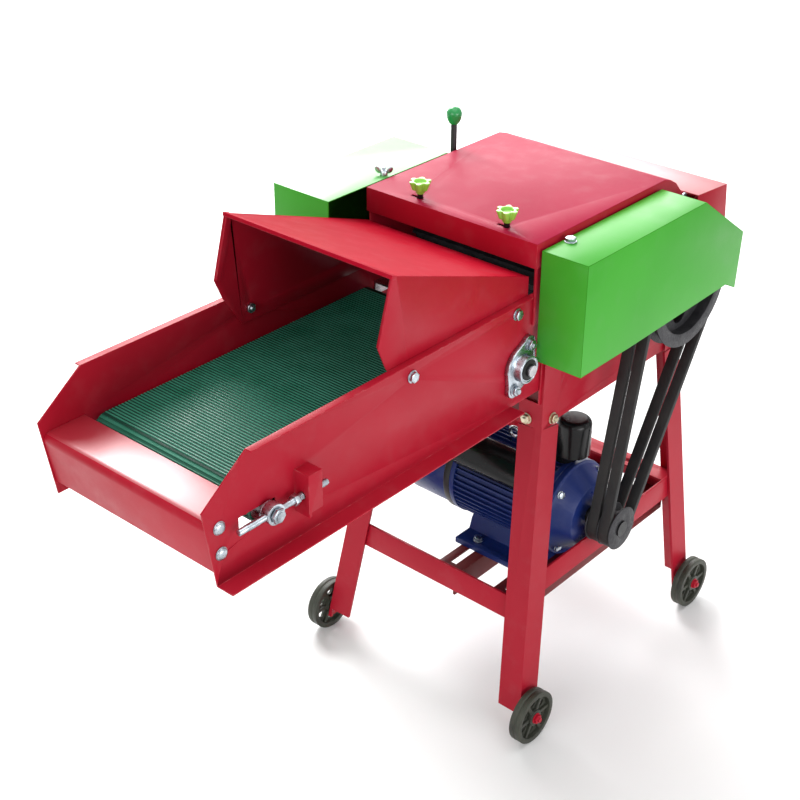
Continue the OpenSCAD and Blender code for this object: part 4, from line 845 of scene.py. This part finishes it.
loose = [o for o in bpy.data.objects
         if o.type == "MESH" and not o.get("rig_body") and not o.get("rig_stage")]
for thing in loose:
    if thing.name not in kept_patterns:
        bpy.data.objects.remove(thing)
print("bearing faces set in")

# %% [markdown]
# Where angle iron meets angle iron, a bead of weld runs along the joint. A bead is a row of
# overlapping puddles, so one flattened drop is modelled and an Array modifier repeats it along
# the joint. The beads are painted with the stand.

# %% Weld beads
def weld_bead(start, end, radius=0.0026):
    run = Vector(end) - Vector(start)
    bpy.ops.object.select_all(action="DESELECT")
    bpy.ops.mesh.primitive_uv_sphere_add(segments=10, ring_count=6, radius=radius)
    drop = bpy.context.active_object
    drop.scale = (0.8, 1.0, 0.7)
    bpy.ops.object.transform_apply(location=True, rotation=True, scale=True)
    row = drop.modifiers.new("row", "ARRAY")
    row.use_relative_offset = False
    row.use_constant_offset = True
    puddle_step = radius * 0.85
    row.constant_offset_displace = (puddle_step, 0.0, 0.0)
    row.count = max(2, int(run.length / puddle_step))
    bpy.ops.object.modifier_apply(modifier=row.name)
    along = run.to_track_quat("X", "Z").to_matrix().to_4x4()
    drop.matrix_world = Matrix.Translation(Vector(start)) @ along
    bpy.ops.object.transform_apply(location=True, rotation=True, scale=True)
    return drop


beads = []
low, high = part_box("side_crossbars")
for side in both_sides:
    x_low = high[0] - 0.0045 if side > 0 else low[0] + 0.0045
    x_high = x_low - side * 0.003
    for y in (low[1] + 0.001, high[1] - 0.001):
        beads.append(weld_bead((x_low, y, low[2] + 0.004), (x_high, y, high[2] - 0.004)))
for bar in ("front_crossbar", "rear_crossbar"):
    low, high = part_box(bar)
    y = high[1] - 0.001 if bar == "front_crossbar" else low[1] + 0.004
    for x in (low[0] + 0.0015, high[0] - 0.0015):
        beads.append(weld_bead((x, y, low[2] + 0.003), (x, y, high[2] - 0.002)))
welds = joined(beads)
finish_piece(welds, "stand_welds", "frame", "red_paint", smooth=60.0)
print("weld beads:", len(beads), "faces:", len(welds.data.polygons))

# %% [markdown]
# The motor is blue, but three things on it are not. The ring at its fan end is black, its lifting
# eye is plated, and its shaft end is dark with the pulley. These are finishes on faces that are
# picked by their place. Four small bolts hold the drive end shield and four bolts hold the feet.

# %% Motor details
motor_y, motor_z, motor_r = 160.0, 280.0, 76.0
ring_edge = drawn(-54.0, 0, 0).x
ring_faces = finish_faces(sheet_of["motor_end_shields"], finishes["black_paint"],
                          lambda c, n: c.x < ring_edge)
eye_low = drawn(0, 0, motor_z + motor_r + 0.5).z
eye_faces = finish_faces(sheet_of["motor_housing"], finishes["zinc_steel"], lambda c, n: c.z > eye_low)
print("black ring faces:", ring_faces, "plated eye faces:", eye_faces)
rotor_core = frame["nodes"]["motor_rotor"]
rotor_core.data.materials.clear()
rotor_core.data.materials.append(black_steel)

small_bolt = joined([hex_head(0.010, 0.001, 0.0045), with_bevel(disc(0.0062, 0.0, 0.001), 0.0003)])
motor_bolts = []
shield_x, bolt_circle, shield_slope = 133.0, 66.0, 0.42
for quarter in range(4):
    angle = math.radians(45.0 + 90.0 * quarter)
    out_y, out_z = math.cos(angle), math.sin(angle)
    place = drawn(shield_x, motor_y + bolt_circle * out_y, motor_z + bolt_circle * out_z)
    motor_bolts.append(copy_to(small_bolt, place, (1.0, shield_slope * out_y, shield_slope * out_z)))
foot_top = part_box("motor_rails")[1][2] * 1000 + 9.0
for x in (12.0, 104.0):
    for y in (-83.0, 83.0):
        motor_bolts.append(copy_to(bolt, drawn(x, motor_y + y, foot_top), (0, 0, 1), 20))
bpy.data.objects.remove(small_bolt)
finish_piece(joined(motor_bolts), "motor_bolts", "frame", "zinc_steel")
for pattern in (bolt, nut_end, outer_nut):
    bpy.data.objects.remove(pattern)
print("motor bolts:", len(motor_bolts))
